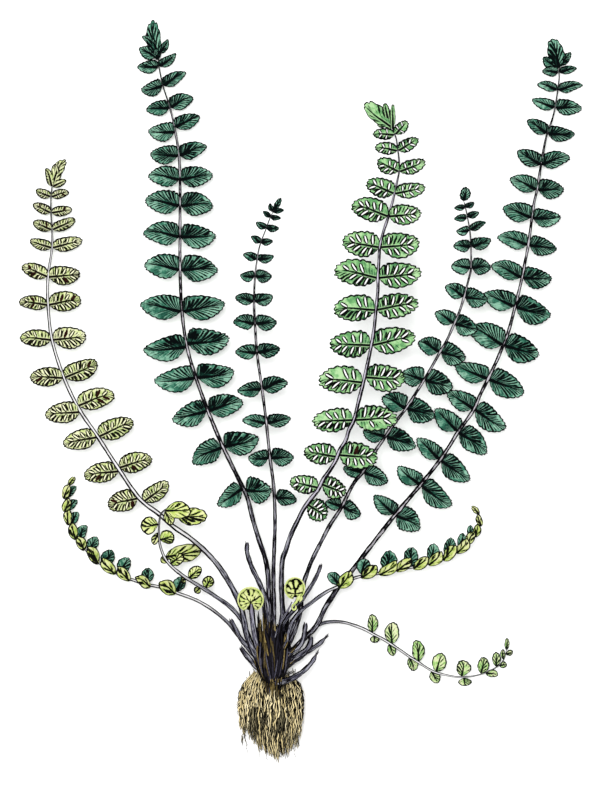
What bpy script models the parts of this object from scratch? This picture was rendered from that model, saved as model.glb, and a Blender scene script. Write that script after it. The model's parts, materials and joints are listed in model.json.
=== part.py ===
"""Bare-root maidenhair spleenwort, lying on a surface.

Metres, +Z up. The origin is in the middle of the flat underside of the root
tuft. +Y runs from the roots to the frond tips, +X is to the right as seen
from above.

The outlines are laid out on a plan grid of PX metres: x to the right, y down,
as the fern is seen from EYE metres above the middle of the plan. Heights are
in millimetres above the surface.
"""
import math

import bmesh
import bpy
import numpy as np
from mathutils import Vector

PX = 0.00024                    # one cell of the plan grid
MM = 0.001
MID = (300.0, 400.0)            # middle of the plan
ORIGIN = (268.0, 714.0)         # plan cell over the origin
EYE = 1.5                       # height that the plan is seen from
BLADE = 0.00046                 # thickness of a leaflet
STIPE = 0.00115                 # thickness of a stalk where it leaves the crown
FLOOR = 0.30                    # lowest middle height of a leaflet, mm

CROWN_AT = (273.0, 655.0, 8.5)  # plan x, plan y, height in mm
CROWN_R = (0.0039, 0.0072, 0.0055)
CROWN_GAP = 0.00036

# Fronds: path of the stalk and midrib from the crown to the tip, heights along
# it as (part of the length, mm), stalk width in cells at the crown and the tip.
# A leaflet is (node, tip, width); side -1 is the left of the direction of
# growth, +1 the right. drop is how far a leaflet's tip falls per unit of its
# length, roll lifts the left side and lowers the right.
FRONDS = {
    "frond_pale_left": dict(
        path=[(262, 668), (257, 658), (251, 646), (246, 632), (240, 604), (222, 571), (206, 552), (190, 538),
              (174, 527), (159, 514), (139, 498), (118, 468), (98, 437), (79, 409), (64, 378), (52, 340),
              (48, 305), (48, 277), (52, 248), (52, 230), (51, 213), (51, 197), (52, 187), (52, 183)],
        high=[(0, 10.5), (0.12, 11.0), (0.35, 13.5), (0.6, 12.5), (0.85, 6.0), (1, 2.0)],
        width=(7.0, 2.6), drop=0.10, roll=0.05,
        leaves=[((139, 499), (108, 506), 22, -1), ((143, 501), (168, 482), 18, 1),
                ((118, 471), (84, 476), 21, -1), ((121, 466), (152, 459), 21, 1),
                ((97, 438), (63, 444), 21, -1), ((100, 434), (133, 421), 22, 1),
                ((79, 411), (45, 415), 22, -1), ((79, 407), (114, 394), 22, 1),
                ((64, 379), (30, 377), 20, -1), ((64, 379), (97, 362), 21, 1),
                ((52, 340), (20, 338), 18, -1), ((52, 340), (86, 335), 23, 1),
                ((48, 305), (19, 302), 15, -1), ((48, 305), (81, 300), 21, 1),
                ((48, 277), (22, 266), 16, -1), ((48, 277), (80, 273), 20, 1),
                ((52, 248), (30, 240), 12, -1), ((52, 248), (82, 240), 15, 1),
                ((52, 230), (33, 222), 12, -1), ((52, 230), (75, 219), 12, 1),
                ((51, 213), (33, 204), 11, -1), ((51, 213), (72, 209), 11, 1),
                ((51, 197), (36, 190), 10, -1), ((51, 197), (69, 192), 10, 1)],
        tip=((63, 160), 14), lobes=[((46, 168), 9, -1), ((67, 178), 9, 1)]),
    "frond_tall_left": dict(
        path=[(272, 640), (271, 625), (270, 611), (269, 598), (268, 575), (265, 558), (259, 540), (253, 520),
              (248, 500), (243, 488), (223, 447), (208, 411), (196, 378), (187, 347), (182, 312), (180, 270),
              (180, 237), (180, 206), (180, 180), (179, 156), (175, 130), (170, 108), (163, 86), (159, 67),
              (158, 58)],
        high=[(0, 8.0), (0.2, 9.0), (0.45, 12.5), (0.75, 9.0), (1, 1.5)],
        width=(6.0, 2.4), drop=0.10, roll=-0.04,
        leaves=[((243, 488), (217, 505), 20, -1), ((245, 490), (272, 490), 27, 1),
                ((223, 447), (192, 463), 24, -1), ((226, 448), (259, 438), 26, 1),
                ((204, 411), (172, 420), 25, -1), ((208, 411), (243, 402), 24, 1),
                ((196, 378), (154, 381), 26, -1), ((196, 378), (234, 371), 26, 1),
                ((187, 347), (143, 350), 26, -1), ((190, 343), (229, 338), 28, 1),
                ((182, 312), (140, 304), 27, -1), ((182, 312), (225, 303), 27, 1),
                ((180, 270), (144, 265), 26, -1), ((180, 270), (218, 270), 28, 1),
                ((180, 237), (143, 233), 25, -1), ((180, 237), (216, 236), 25, 1),
                ((180, 206), (145, 200), 25, -1), ((180, 206), (213, 206), 25, 1),
                ((180, 180), (148, 176), 22, -1), ((180, 180), (213, 175), 22, 1),
                ((179, 156), (150, 154), 20, -1), ((179, 156), (207, 146), 18, 1),
                ((174, 132), (148, 131), 20, -1), ((177, 127), (200, 116), 17, 1),
                ((170, 108), (146, 110), 16, -1), ((170, 108), (193, 97), 18, 1),
                ((163, 86), (141, 90), 16, -1), ((163, 86), (186, 72), 14, 1),
                ((159, 67), (137, 67), 14, -1), ((159, 67), (176, 53), 11, 1)],
        tip=((154, 22), 16), lobes=[((140, 50), 14, -1), ((168, 40), 9, 1)]),
    "frond_short_middle": dict(
        path=[(274, 642), (274, 625), (274, 600), (273.5, 586), (273.5, 570), (274.5, 540), (275, 525), (274.5, 500),
              (273, 480), (270, 458), (266, 420), (262, 389), (257, 353), (255, 324), (254, 302), (255, 277),
              (257, 260), (260, 245), (266, 229), (270, 218), (273, 212), (274.5, 209)],
        high=[(0, 10.8), (0.1, 11.2), (0.3, 15.0), (0.6, 20.0), (1, 23.0)],
        width=(5.2, 2.0), drop=0.08, roll=-0.06,
        leaves=[((276, 497), (297, 500), 17, 1),
                ((270, 458), (248, 458), 17, -1), ((270, 458), (294, 457), 19, 1),
                ((266, 422), (242, 420), 14, -1), ((266, 422), (291, 418), 15, 1),
                ((262, 390), (237, 391), 16, -1), ((262, 390), (288, 382), 18, 1),
                ((257, 353), (235, 352), 16, -1), ((257, 353), (280, 348), 16, 1),
                ((255, 325), (233, 322), 16, -1), ((255, 325), (277, 322), 17, 1),
                ((253, 301), (235, 297), 13, -1), ((253, 301), (273, 296), 14, 1),
                ((255, 278), (240, 275), 12, -1), ((255, 278), (272, 276), 14, 1),
                ((257, 260), (243, 254), 10, -1), ((257, 260), (274, 256), 10, 1),
                ((260, 244), (251, 236), 8, -1), ((260, 244), (273, 241), 8, 1),
                ((265, 229), (256, 222), 8, -1), ((265, 229), (279, 228), 8, 1),
                ((270, 218), (263, 211), 6, -1), ((270, 218), (281, 218), 6, 1)],
        tip=((281, 198), 7), lobes=[((270, 203), 6, -1), ((284, 210), 6, 1)]),
    "frond_fertile_middle": dict(
        path=[(282, 646), (283, 632), (283.5, 620), (282, 600), (281.5, 580), (282.5, 560), (286, 550), (289, 540),
              (293, 530), (298, 520), (303, 510), (310, 500), (318, 490), (323, 480), (330, 470), (336, 460),
              (340, 450), (346, 440), (349, 430), (354, 420), (359, 400), (364, 380), (370.5, 350), (374, 330),
              (376, 310), (378, 290), (378, 278), (379, 260), (380, 246), (384, 230), (388, 218), (393, 200),
              (397.5, 180), (399, 172), (399, 160), (398, 151), (396.5, 140), (395, 135), (393, 130), (391, 126)],
        high=[(0, 8.2), (0.06, 8.8), (0.14, 13.5), (0.25, 20.0), (0.5, 28.5), (0.75, 31.0), (1, 27.0)],
        width=(6.2, 2.6), drop=0.08, roll=0.04,
        leaves=[((307, 504), (326, 518), 22, 1),
                ((319, 488), (290, 481), 19, -1), ((322, 485), (346, 493), 21, 1),
                ((338, 457), (304, 451), 22, -1), ((341, 456), (377, 458), 27, 1),
                ((354, 420), (313, 421), 24, -1), ((354, 420), (397, 419), 26, 1),
                ((363, 382), (319, 380), 28, -1), ((367, 378), (405, 378), 27, 1),
                ((372, 345), (330, 343), 27, -1), ((372, 345), (415, 336), 27, 1),
                ((376, 311), (334, 309), 27, -1), ((376, 311), (418, 303), 25, 1),
                ((378, 278), (335, 270), 27, -1), ((378, 278), (421, 272), 26, 1),
                ((380, 247), (343, 240), 26, -1), ((380, 247), (419, 242), 26, 1),
                ((388, 217), (352, 205), 24, -1), ((388, 217), (421, 213), 21, 1),
                ((395, 193), (367, 182), 20, -1), ((395, 193), (425, 187), 16, 1),
                ((399, 172), (378, 160), 17, -1), ((399, 172), (425, 161), 15, 1),
                ((398, 151), (375, 147), 13, -1), ((398, 151), (418, 139), 13, 1),
                ((395, 135), (373, 134), 12, -1), ((395, 135), (407, 121), 12, 1)],
        tip=((364, 105), 22), lobes=[((377, 123), 9, -1), ((394, 105), 8, 1)]),
    "frond_slender_right": dict(
        path=[(279, 662), (284, 652), (290, 641), (295, 630), (299, 617), (301, 606), (302, 595), (304, 582),
              (307, 573), (312, 560), (322, 540), (330, 525), (341, 508), (350, 490), (356, 480), (363, 472),
              (372, 458), (376, 450), (383, 440), (391, 428), (397, 420), (407, 407), (419, 388), (424, 380),
              (430, 370), (440, 352), (447, 340), (455, 322), (460, 310), (464, 297), (469, 278), (471, 268),
              (471, 247), (470, 232), (468, 220), (466, 210), (464, 202), (463, 199)],
        high=[(0, 9.2), (0.1, 9.6), (0.25, 13.0), (0.45, 17.5), (0.75, 18.0), (1, 14.0)],
        width=(5.6, 2.2), drop=0.08, roll=-0.05,
        leaves=[((342, 507), (325, 502), 14, -1), ((342, 507), (361, 515), 18, 1),
                ((363, 472), (343, 468), 16, -1), ((363, 472), (388, 482), 20, 1),
                ((386, 437), (363, 431), 20, -1), ((386, 437), (416, 447), 23, 1),
                ((406, 408), (382, 397), 22, -1), ((406, 408), (435, 416), 25, 1),
                ((424, 380), (401, 373), 22, -1), ((424, 380), (453, 388), 25, 1),
                ((440, 352), (418, 342), 20, -1), ((440, 352), (466, 358), 23, 1),
                ((454, 323), (435, 312), 17, -1), ((454, 323), (478, 330), 21, 1),
                ((464, 297), (445, 286), 17, -1), ((464, 297), (488, 299), 20, 1),
                ((471, 268), (451, 266), 17, -1), ((471, 268), (491, 267), 18, 1),
                ((471, 247), (453, 246), 13, -1), ((471, 247), (491, 239), 14, 1),
                ((470, 231), (456, 231), 10, -1), ((470, 231), (486, 222), 9, 1),
                ((467, 218), (454, 219), 8, -1), ((467, 218), (479, 212), 8, 1),
                ((465, 208), (454, 208), 7, -1), ((465, 208), (474, 202), 7, 1)],
        tip=((466, 187), 11), lobes=[]),
    "frond_tall_right": dict(
        path=[(280, 662), (288, 655), (296, 647), (303, 640), (309, 634), (314, 629), (319, 621), (325, 608),
              (332, 597), (338, 588), (354, 568), (370, 547), (395, 515), (417, 489), (430, 473), (440, 460),
              (450, 445), (458, 432), (466, 421), (474, 409), (480, 395), (488, 379), (497, 360), (502, 348),
              (508, 333), (515, 307), (522, 278), (525, 262), (528, 247), (531, 225), (534, 203), (537, 190),
              (541, 165), (546, 138), (552, 120), (555, 108), (557, 95), (559, 80), (559, 72), (559, 66)],
        high=[(0, 7.4), (0.14, 7.5), (0.3, 8.6), (0.5, 9.5), (0.75, 7.0), (1, 1.5)],
        width=(6.2, 2.4), drop=0.09, roll=0.05,
        leaves=[((395, 515), (374, 495), 19, -1), ((395, 515), (420, 529), 25, 1),
                ((420, 485), (398, 466), 19, -1), ((420, 485), (452, 505), 23, 1),
                ((440, 460), (417, 438), 19, -1), ((440, 460), (470, 480), 23, 1),
                ((457, 432), (435, 409), 22, -1), ((457, 432), (487, 453), 24, 1),
                ((474, 409), (447, 392), 21, -1), ((474, 409), (506, 428), 24, 1),
                ((488, 379), (455, 364), 22, -1), ((488, 379), (524, 393), 27, 1),
                ((501, 345), (468, 327), 27, -1), ((501, 345), (539, 355), 28, 1),
                ((515, 307), (484, 293), 23, -1), ((515, 307), (551, 315), 27, 1),
                ((522, 277), (491, 265), 20, -1), ((522, 277), (552, 278), 22, 1),
                ((528, 246), (497, 237), 19, -1), ((528, 246), (557, 249), 20, 1),
                ((531, 218), (503, 207), 22, -1), ((531, 218), (561, 217), 19, 1),
                ((536, 189), (510, 178), 19, -1), ((536, 189), (564, 189), 21, 1),
                ((540, 165), (517, 151), 18, -1), ((540, 165), (570, 157), 18, 1),
                ((547, 133), (527, 120), 15, -1), ((547, 133), (575, 134), 16, 1),
                ((555, 108), (532, 99), 13, -1), ((555, 108), (582, 108), 17, 1),
                ((558, 91), (537, 84), 11, -1), ((558, 91), (583, 85), 12, 1),
                ((559, 73), (542, 71), 11, -1), ((559, 73), (577, 68), 9, 1)],
        tip=((550, 40), 20), lobes=[((543, 55), 11, -1), ((571, 52), 10, 1)]),
    # Seen on edge: the left row of leaflets stands up, the right row hangs down.
    "frond_low_left": dict(
        path=[(262, 663), (250, 650), (242, 640), (236, 633), (231, 626), (225, 620), (218, 614), (210, 608),
              (200, 602), (190, 597.5), (180, 594), (172, 591), (163, 588), (155, 586), (148, 585), (141, 583),
              (133, 580), (126, 578), (118, 574), (110, 570), (102, 564.5), (96, 561), (91, 556), (86, 550),
              (81, 544.5), (77, 539), (72.5, 532), (70, 526), (67.5, 519), (66, 511), (65.5, 503), (65.5, 495),
              (67, 488), (69, 484)],
        high=[(0, 4.6), (0.2, 5.0), (0.5, 6.0), (0.8, 5.5), (1, 4.0)],
        width=(4.4, 2.6), drop=0.0, roll=0.0, edge=(0.28, 0.40), stand=(3.4, -3.0),
        leaves=[((176, 592), (159, 583), 13, -1), ((178, 593), (175, 576), 9, 1),
                ((150, 585), (136, 577), 9, -1), ((151, 585), (145, 569), 12, 1),
                ((131, 580), (120, 567), 10, -1), ((131, 579), (126, 558), 12, 1),
                ((116, 573), (106, 556), 9, -1), ((116, 573), (110, 551), 9, 1),
                ((99, 563), (91, 547), 8, -1), ((100, 563), (94, 538), 10, 1),
                ((88, 552), (80, 537), 7.5, -1), ((89, 553), (83, 525), 8, 1),
                ((78, 541), (73.5, 524), 7, -1), ((78, 540), (77, 512), 8, 1),
                ((70, 527), (69, 511), 7, -1), ((70, 524), (77, 500), 7, 1),
                ((66, 512), (68, 498), 8, -1), ((66, 508), (75, 485), 8, 1),
                ((65.5, 499), (68, 486), 7, -1)],
        tip=((75, 477), 6), lobes=[]),
    "frond_low_right": dict(
        path=[(280, 652), (286, 644), (288, 634), (291, 624), (296, 616), (304, 608), (311, 603), (318, 597.5),
              (328, 591), (338, 586.5), (345, 583), (352, 579), (360, 576.5), (370, 575), (380, 573), (390, 571),
              (400, 569), (410, 567.5), (420, 566), (430, 563), (440, 560), (446, 557.5), (452, 554), (458, 550.5),
              (464, 546), (470, 540.5), (475, 535), (478.5, 529), (480, 523), (480, 517), (478.5, 512.5)],
        high=[(0, 12.4), (0.06, 13.4), (0.3, 13.8), (0.6, 11.4), (1, 8.4)],
        width=(5.0, 2.2), drop=0.0, roll=0.0, edge=(0.14, 0.26), stand=(3.4, -3.4),
        leaves=[((341, 585), (350, 570), 13, -1), ((338, 586), (327, 575), 12, 1),
                ((362, 576), (377, 566), 9, -1), ((359, 577), (367, 558), 12, 1, 0.8),
                ((380, 573), (396, 560), 10, -1), ((381, 573), (390, 550), 13, 1),
                ((397, 570), (408, 557), 9, -1),
                ((410, 568), (421, 556), 9, -1), ((407, 568), (413, 547), 13, 1),
                ((422, 566), (430, 552), 8, -1),
                ((431, 563), (441, 551), 8, -1), ((430, 563), (434, 544), 10, 1),
                ((445, 558), (457, 544), 8, -1), ((447, 557), (451, 538), 10, 1),
                ((457, 551), (467, 541), 7, -1), ((459, 550), (463, 533), 9, 1),
                ((468, 543), (473, 532), 7, -1), ((471, 540), (469, 526), 6, 1),
                ((475, 536), (477, 524), 6, -1),
                ((479.5, 527), (474, 516), 5.5, -1)],
        tip=((472, 506), 6), lobes=[]),
    "frond_trailing_right": dict(
        path=[(280, 662), (289, 653), (297, 645), (304, 637), (312, 630), (318, 625.5), (325, 622.5), (335, 621.5),
              (345, 622.5), (355, 625.5), (365, 629.5), (373, 634), (382, 638.5), (391, 644), (400, 650),
              (410, 657), (418, 662), (428, 668.5), (436, 672.5), (446, 675), (458, 677), (470, 676.5),
              (480, 674.5), (488, 671.5), (495, 668), (500, 664.5), (504, 659), (506, 652), (507, 648)],
        high=[(0, 4.8), (0.3, 5.2), (0.7, 4.2), (1, 2.2)],
        width=(4.4, 2.0), drop=0.10, roll=0.30,
        leaves=[((373, 633), (372, 614), 11, -1), ((375, 635), (374, 643), 10, 1),
                ((392, 644), (393, 622), 15, -1), ((389, 643), (393, 656), 9, 1),
                ((419, 662), (416, 640), 13, -1), ((409, 657), (414, 671), 11, 1),
                ((436, 672), (442, 653), 15, -1), ((431, 671), (438, 683), 11, 1),
                ((462, 677), (463, 660), 15, -1), ((464, 677), (465, 686), 14, 1),
                ((481, 674), (484, 657), 12, -1), ((485, 674), (498, 675), 8, 1),
                ((496, 667), (496, 652), 9, -1), ((499, 666), (507, 665), 7, 1),
                ((503, 660), (503, 649), 5, -1), ((506, 655), (513, 651), 6, 1)],
        tip=((507, 638), 5), lobes=[]),
    "frond_young_curled": dict(
        path=[(258, 660), (252, 645), (247, 632), (242, 621), (236, 613), (228, 605), (218, 598), (206, 590),
              (196, 584), (187, 578.5), (178, 572), (171, 566), (166, 560), (162.5, 553), (160, 545), (159, 537),
              (159, 528), (159.5, 520), (161, 514), (165.5, 509.5), (171, 508), (176, 510), (178, 515),
              (177.5, 519)],
        high=[(0, 6.6), (0.2, 7.2), (0.45, 12.0), (0.7, 17.0), (0.85, 19.5), (1, 20.5)],
        width=(5.6, 3.0), drop=0.0, roll=0.0,
        leaves=[((199, 586), (194, 593), 7, -1), ((207, 590), (214, 578), 9, 1),
                ((187, 579), (181, 582), 5, -1), ((188, 578), (201, 567), 11, 1),
                ((168, 564), (161, 557), 6, -1), ((170, 564), (184, 557), 12, 1, -1.0),
                ((165, 557), (197, 551), 15, 1, -6.5),
                ((159, 532), (154, 545), 7, -1, -1.5), ((160, 540), (174, 535), 14, 1, 1.0),
                ((159, 522), (141, 534), 14, -1, 0.5),
                ((167, 509), (191, 508), 13, -1, 1.5), ((165, 511), (172, 525), 11, 1, -0.6)],
        tip=((206, 520), 17), lobes=[]),
}

# Old stalks: centre line from the broken end to the crown, height at both
# ends in mm, width in cells at both ends.
STUBS = {
    "stipe_stub_1": ([(247, 543), (247, 552), (249.5, 561), (253, 570), (258, 580), (262, 589), (265, 598),
                      (267, 607), (268, 618), (269, 632), (270, 645)], (13.5, 12.4), (4.6, 5.6)),
    "stipe_stub_2": ([(321, 565), (318, 573), (313.5, 582), (308.5, 590), (303.5, 597.5), (298, 605), (292, 612),
                      (286.5, 618.5), (282, 626), (278, 638)], (14.5, 10.8), (3.8, 5.0)),
    "stipe_stub_3": ([(231, 620), (235, 628), (239, 636), (244, 643), (249, 649), (254, 655), (260, 662)],
                     (8.6, 8.2), (4.6, 5.0)),
    "stipe_stub_4": ([(241, 648), (246, 655), (252, 662), (258, 668), (266, 673)], (7.4, 7.6), (5.0, 6.0)),
    "stipe_stub_5": ([(311, 637), (310, 644), (306, 650), (299, 655), (290, 660), (280, 664)], (9.4, 8.8),
                     (5.6, 6.4)),
    "stipe_stub_6": ([(325, 638), (320, 643), (313, 648), (305, 653), (297, 659), (286, 665)], (5.6, 6.2),
                     (4.4, 6.0)),
    "stipe_stub_7": ([(316, 655), (312, 662), (305, 669.5), (297, 675.5), (288, 680), (278, 682), (270, 676)],
                     (9.6, 11.5), (4.4, 7.0)),
    "stipe_stub_8": ([(305.5, 624), (304.5, 632), (303, 640), (298.5, 647.5), (291, 652.5), (282, 658)],
                     (11.6, 11.2), (5.0, 5.4)),
    "stipe_stub_9": ([(294.5, 622), (291.5, 630), (288, 637), (284, 643), (278, 650)], (11.2, 11.2), (5.0, 5.2)),
}

# Coiled young fronds: stalk from the crown, then the head, with the half
# widths in cells along it.
CROZIERS = {
    "crozier_left": ([(262, 655), (257, 645), (254, 630), (252.5, 618), (252, 611)], (8.5, 15.0), 2.6,
                     (251, 600), (11.5, 11.5, 2.4)),
    "crozier_right": ([(273, 652), (275, 640), (277, 631), (281, 622), (287, 612), (292, 602)], (12.8, 15.4), 2.2,
                      (295, 588.5), (9.2, 10.2, 2.0)),
}


def spot(x, y, high):
    """World point over plan cell (x, y) at a height in millimetres."""
    z = high * MM
    near = 1.0 - z / EYE
    return Vector(((MID[0] - ORIGIN[0] + (x - MID[0]) * near) * PX,
                   (ORIGIN[1] - MID[1] + (MID[1] - y) * near) * PX, z))


def smooth(keys, t):
    """Height at t on a smooth curve through (t, height) keys."""
    xs, ys = [k[0] for k in keys], [k[1] for k in keys]
    n = len(xs)
    slope = [(ys[min(i + 1, n - 1)] - ys[max(i - 1, 0)]) / (xs[min(i + 1, n - 1)] - xs[max(i - 1, 0)])
             for i in range(n)]
    t = min(max(t, xs[0]), xs[-1])
    i = max(j for j in range(n - 1) if xs[j] <= t)
    h = xs[i + 1] - xs[i]
    u = (t - xs[i]) / h
    return ((2 * u**3 - 3 * u**2 + 1) * ys[i] + (u**3 - 2 * u**2 + u) * h * slope[i]
            + (-2 * u**3 + 3 * u**2) * ys[i + 1] + (u**3 - u**2) * h * slope[i + 1])


class Path:
    """A smooth curve through plan points, measured along its length."""

    def __init__(self, points, high):
        p = [np.array(q, float) for q in points]
        p = [2 * p[0] - p[1]] + p + [2 * p[-1] - p[-2]]
        fine = []
        for i in range(1, len(p) - 2):
            for k in range(10):
                u = k / 10
                fine.append(0.5 * (2 * p[i] + (p[i + 1] - p[i - 1]) * u
                                   + (2 * p[i - 1] - 5 * p[i] + 4 * p[i + 1] - p[i + 2]) * u * u
                                   + (3 * p[i] - p[i - 1] - 3 * p[i + 1] + p[i + 2]) * u**3))
        fine.append(p[-2])
        self.fine = np.array(fine)
        self.run = np.concatenate([[0], np.cumsum(np.linalg.norm(np.diff(self.fine, axis=0), axis=1))])
        self.length = float(self.run[-1])
        self.high = high

    def at(self, s):
        x = float(np.interp(s, self.run, self.fine[:, 0]))
        y = float(np.interp(s, self.run, self.fine[:, 1]))
        return spot(x, y, smooth(self.high, s / self.length))

    def along(self, s):
        return (self.at(min(s + 1.5, self.length)) - self.at(max(s - 1.5, 0))).normalized()

    def nearest(self, point, after=0.0):
        gap = np.linalg.norm(self.fine - np.array(point, float), axis=1)
        gap = np.where(self.run < after, 1e9, gap)
        return float(self.run[int(np.argmin(gap))])


def clear_of_crown(points, gap=CROWN_GAP):
    """True where every point is outside the crown by more than the gap."""
    c = spot(*CROWN_AT)
    for p in points:
        d = p - c
        if sum((d[i] / (CROWN_R[i] + gap)) ** 2 for i in range(3)) < 1.0:
            return False
    return True


def material(name, colour, rough):
    m = bpy.data.materials.new(name)
    m.use_nodes = True
    b = m.node_tree.nodes["Principled BSDF"]
    b.inputs["Base Color"].default_value = (*colour, 1)
    b.inputs["Roughness"].default_value = rough
    b.inputs["Metallic"].default_value = 0.0
    m.diffuse_color = (*colour, 1)
    return m


def add(name, data, mat, home):
    ob = bpy.data.objects.new(name, data)
    data.materials.append(mat)
    home.objects.link(ob)
    return ob


def frond(name, f, mat, home):
    """One frond: an open ribbon for the stalk with its leaflets, given thickness."""
    path = Path(f["path"], f["high"])
    length = path.length
    w0, w1 = f["width"]

    def width(s):
        return (w0 + (w1 - w0) * (s / length) ** 0.8) * PX

    def cross(s):
        t = path.along(s)
        left = Vector((-t.y, t.x, 0)).normalized()
        turn = 0.0
        if "edge" in f:
            a, b = f["edge"]
            u = min(max((s / length - a) / (b - a), 0), 1)
            turn = math.radians(82) * u * u * (3 - 2 * u)
        up = t.cross(left)
        if up.z < 0:
            up = -up
        side = left * math.cos(turn) + up * math.sin(turn)
        c, h = path.at(s), 0.5 * width(s)
        return c + side * h, c - side * h, c

    # leave the crown
    s0 = 0.0
    while s0 < 60:
        l, r, c = cross(s0)
        up = Vector((0, 0, 0.5 * STIPE))
        if clear_of_crown([l + up, l - up, r + up, r - up, c]):
            break
        s0 += 0.5
    # stations: both ends of each leaflet's foot
    feet = []
    for leaf in f["leaves"]:
        node, side = leaf[0], leaf[3]
        half = 1.1 + 0.035 * leaf[2]
        feet.append([path.nearest(node, s0), half, side, leaf])
    feet.sort(key=lambda q: q[0])
    groups = []
    for q in feet:
        if groups and abs(groups[-1][0] - q[0]) < 4.4 and q[2] not in [k[2] for k in groups[-1][2]]:
            groups[-1][2].append(q)
        else:
            groups.append([q[0], q[1], [q]])
    ends = length - 1.0
    for i, g in enumerate(groups):          # feet that would touch their neighbours give way
        if i and g[0] - g[1] < groups[i - 1][0] + groups[i - 1][1] + 0.6:
            g[0] = groups[i - 1][0] + groups[i - 1][1] + 0.6 + g[1]
        if g[0] + g[1] > ends - 3.5:
            g[0] = ends - 3.5 - g[1]
    stations, feet_at = [s0], {}
    for s, half, items in groups:
        a, b = s - half, s + half
        gap = a - stations[-1]
        more = int(gap // 15)
        stations += [stations[-1] + gap * (k + 1) / (more + 1) for k in range(more)]
        stations.append(a)
        feet_at[len(stations) - 1] = items
        stations.append(b)
    stations += [ends - 2.4, ends]

    bm = bmesh.new()
    deform = bm.verts.layers.deform.verify()
    ribs = []
    for s in stations:
        l, r, _ = cross(s)
        thick = 1.0 - 0.52 * (s - s0) / (length - s0)
        row = []
        for p in (l, r):
            v = bm.verts.new(p)
            v[deform][0] = thick
            row.append(v)
        ribs.append(row)
    for a, b in zip(ribs, ribs[1:]):
        bm.faces.new((a[0], a[1], b[1], b[0]))

    def leaflet(back, front, tip, wide, flip):
        """Leaflet from a foot edge: two ribs across it, then a blunt or pointed tip."""
        mid = (back.co + front.co) / 2
        axis = tip - mid
        size = axis.length
        axis.normalize()
        across = front.co - back.co
        across = (across - axis * across.dot(axis)).normalized()
        shape = [(0.34, 0.94), (0.70, 0.84)] if wide > 8 else [(0.45, 0.98)]
        shape += [(0.97, 0.34)] if wide > 15 else [(1.0, 0.0)]
        rows = [(back, front)]
        for t, k in shape:
            c = mid + axis * size * t
            pair = [c - across * wide * PX * k / 2, c + across * wide * PX * k / 2] if k else [c]
            vs = []
            for p in pair:
                p.z = max(p.z, FLOOR * MM)
                v = bm.verts.new(p)
                v[deform][0] = BLADE / STIPE
                vs.append(v)
            rows.append(vs)
        for a, b in zip(rows, rows[1:]):
            ring = [a[0], a[1], *reversed(b)]
            bm.faces.new(ring if flip else list(reversed(ring)))

    def tip_point(node_s, tip, side, lift):
        c = path.at(node_s)
        size = math.dist((tip[0], tip[1]), tuple(np.array([np.interp(node_s, path.run, path.fine[:, 0]),
                                                          np.interp(node_s, path.run, path.fine[:, 1])])))
        high = c.z / MM
        if "stand" in f:
            high += f["stand"][0 if side < 0 else 1] * min(size / 17.0, 1.25)
        else:
            high += (-f["drop"] - side * f["roll"]) * size * PX / MM
        return spot(tip[0], tip[1], max(high + lift, FLOOR))

    for i, items in feet_at.items():
        for s, half, side, leaf in items:
            lift = leaf[4] if len(leaf) > 4 else 0.0
            k = 0 if side < 0 else 1
            leaflet(ribs[i][k], ribs[i + 1][k], tip_point(s, leaf[1], side, lift), leaf[2], side < 0)
    tip, wide = f["tip"]
    leaflet(ribs[-1][1], ribs[-1][0], tip_point(ends, tip, 0, 0.0), wide, False)
    for tip, wide, side in f["lobes"]:
        k = 0 if side < 0 else 1
        leaflet(ribs[-2][k], ribs[-1][k], tip_point(ends - 1.2, tip, side, 0.0), wide, side < 0)
    bmesh.ops.recalc_face_normals(bm, faces=bm.faces)
    mesh = bpy.data.meshes.new(name)
    bm.to_mesh(mesh)
    bm.free()
    ob = add(name, mesh, mat, home)
    ob.vertex_groups.new(name="thick")
    mod = ob.modifiers.new("Thickness", "SOLIDIFY")
    mod.thickness = STIPE
    mod.offset = 0.0
    mod.use_even_offset = False
    mod.vertex_group = "thick"
    mod.thickness_vertex_group = 0.0
    return ob


def rod(name, points, radii, mat, home, sides=1):
    """A round tapered stalk along world points."""
    cu = bpy.data.curves.new(name, "CURVE")
    cu.dimensions = "3D"
    cu.bevel_depth = 1.0
    cu.bevel_resolution = sides
    cu.use_fill_caps = True
    sp = cu.splines.new("POLY")
    sp.points.add(len(points) - 1)
    for q, p, r in zip(sp.points, points, radii):
        q.co = (*p, 1)
        q.radius = r
    return add(name, cu, mat, home)


def stub(name, spec, mat, home):
    pts, (za, zb), (wa, wb) = spec
    path = Path(pts, [(0, za), (1, zb)])
    end = path.length
    radius = lambda s: 0.5 * PX * (wa + (wb - wa) * s / path.length)
    while end > 4:
        c, t = path.at(end), path.along(end)
        side = Vector((-t.y, t.x, 0)).normalized() * radius(end)
        up = Vector((0, 0, radius(end)))
        if clear_of_crown([c, c + side, c - side, c + up, c - up]):
            break
        end -= 0.5
    n = max(5, round(end / 9))
    ss = [end * i / (n - 1) for i in range(n)]
    return rod(name, [path.at(s) for s in ss], [radius(s) for s in ss], mat, home)


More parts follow.
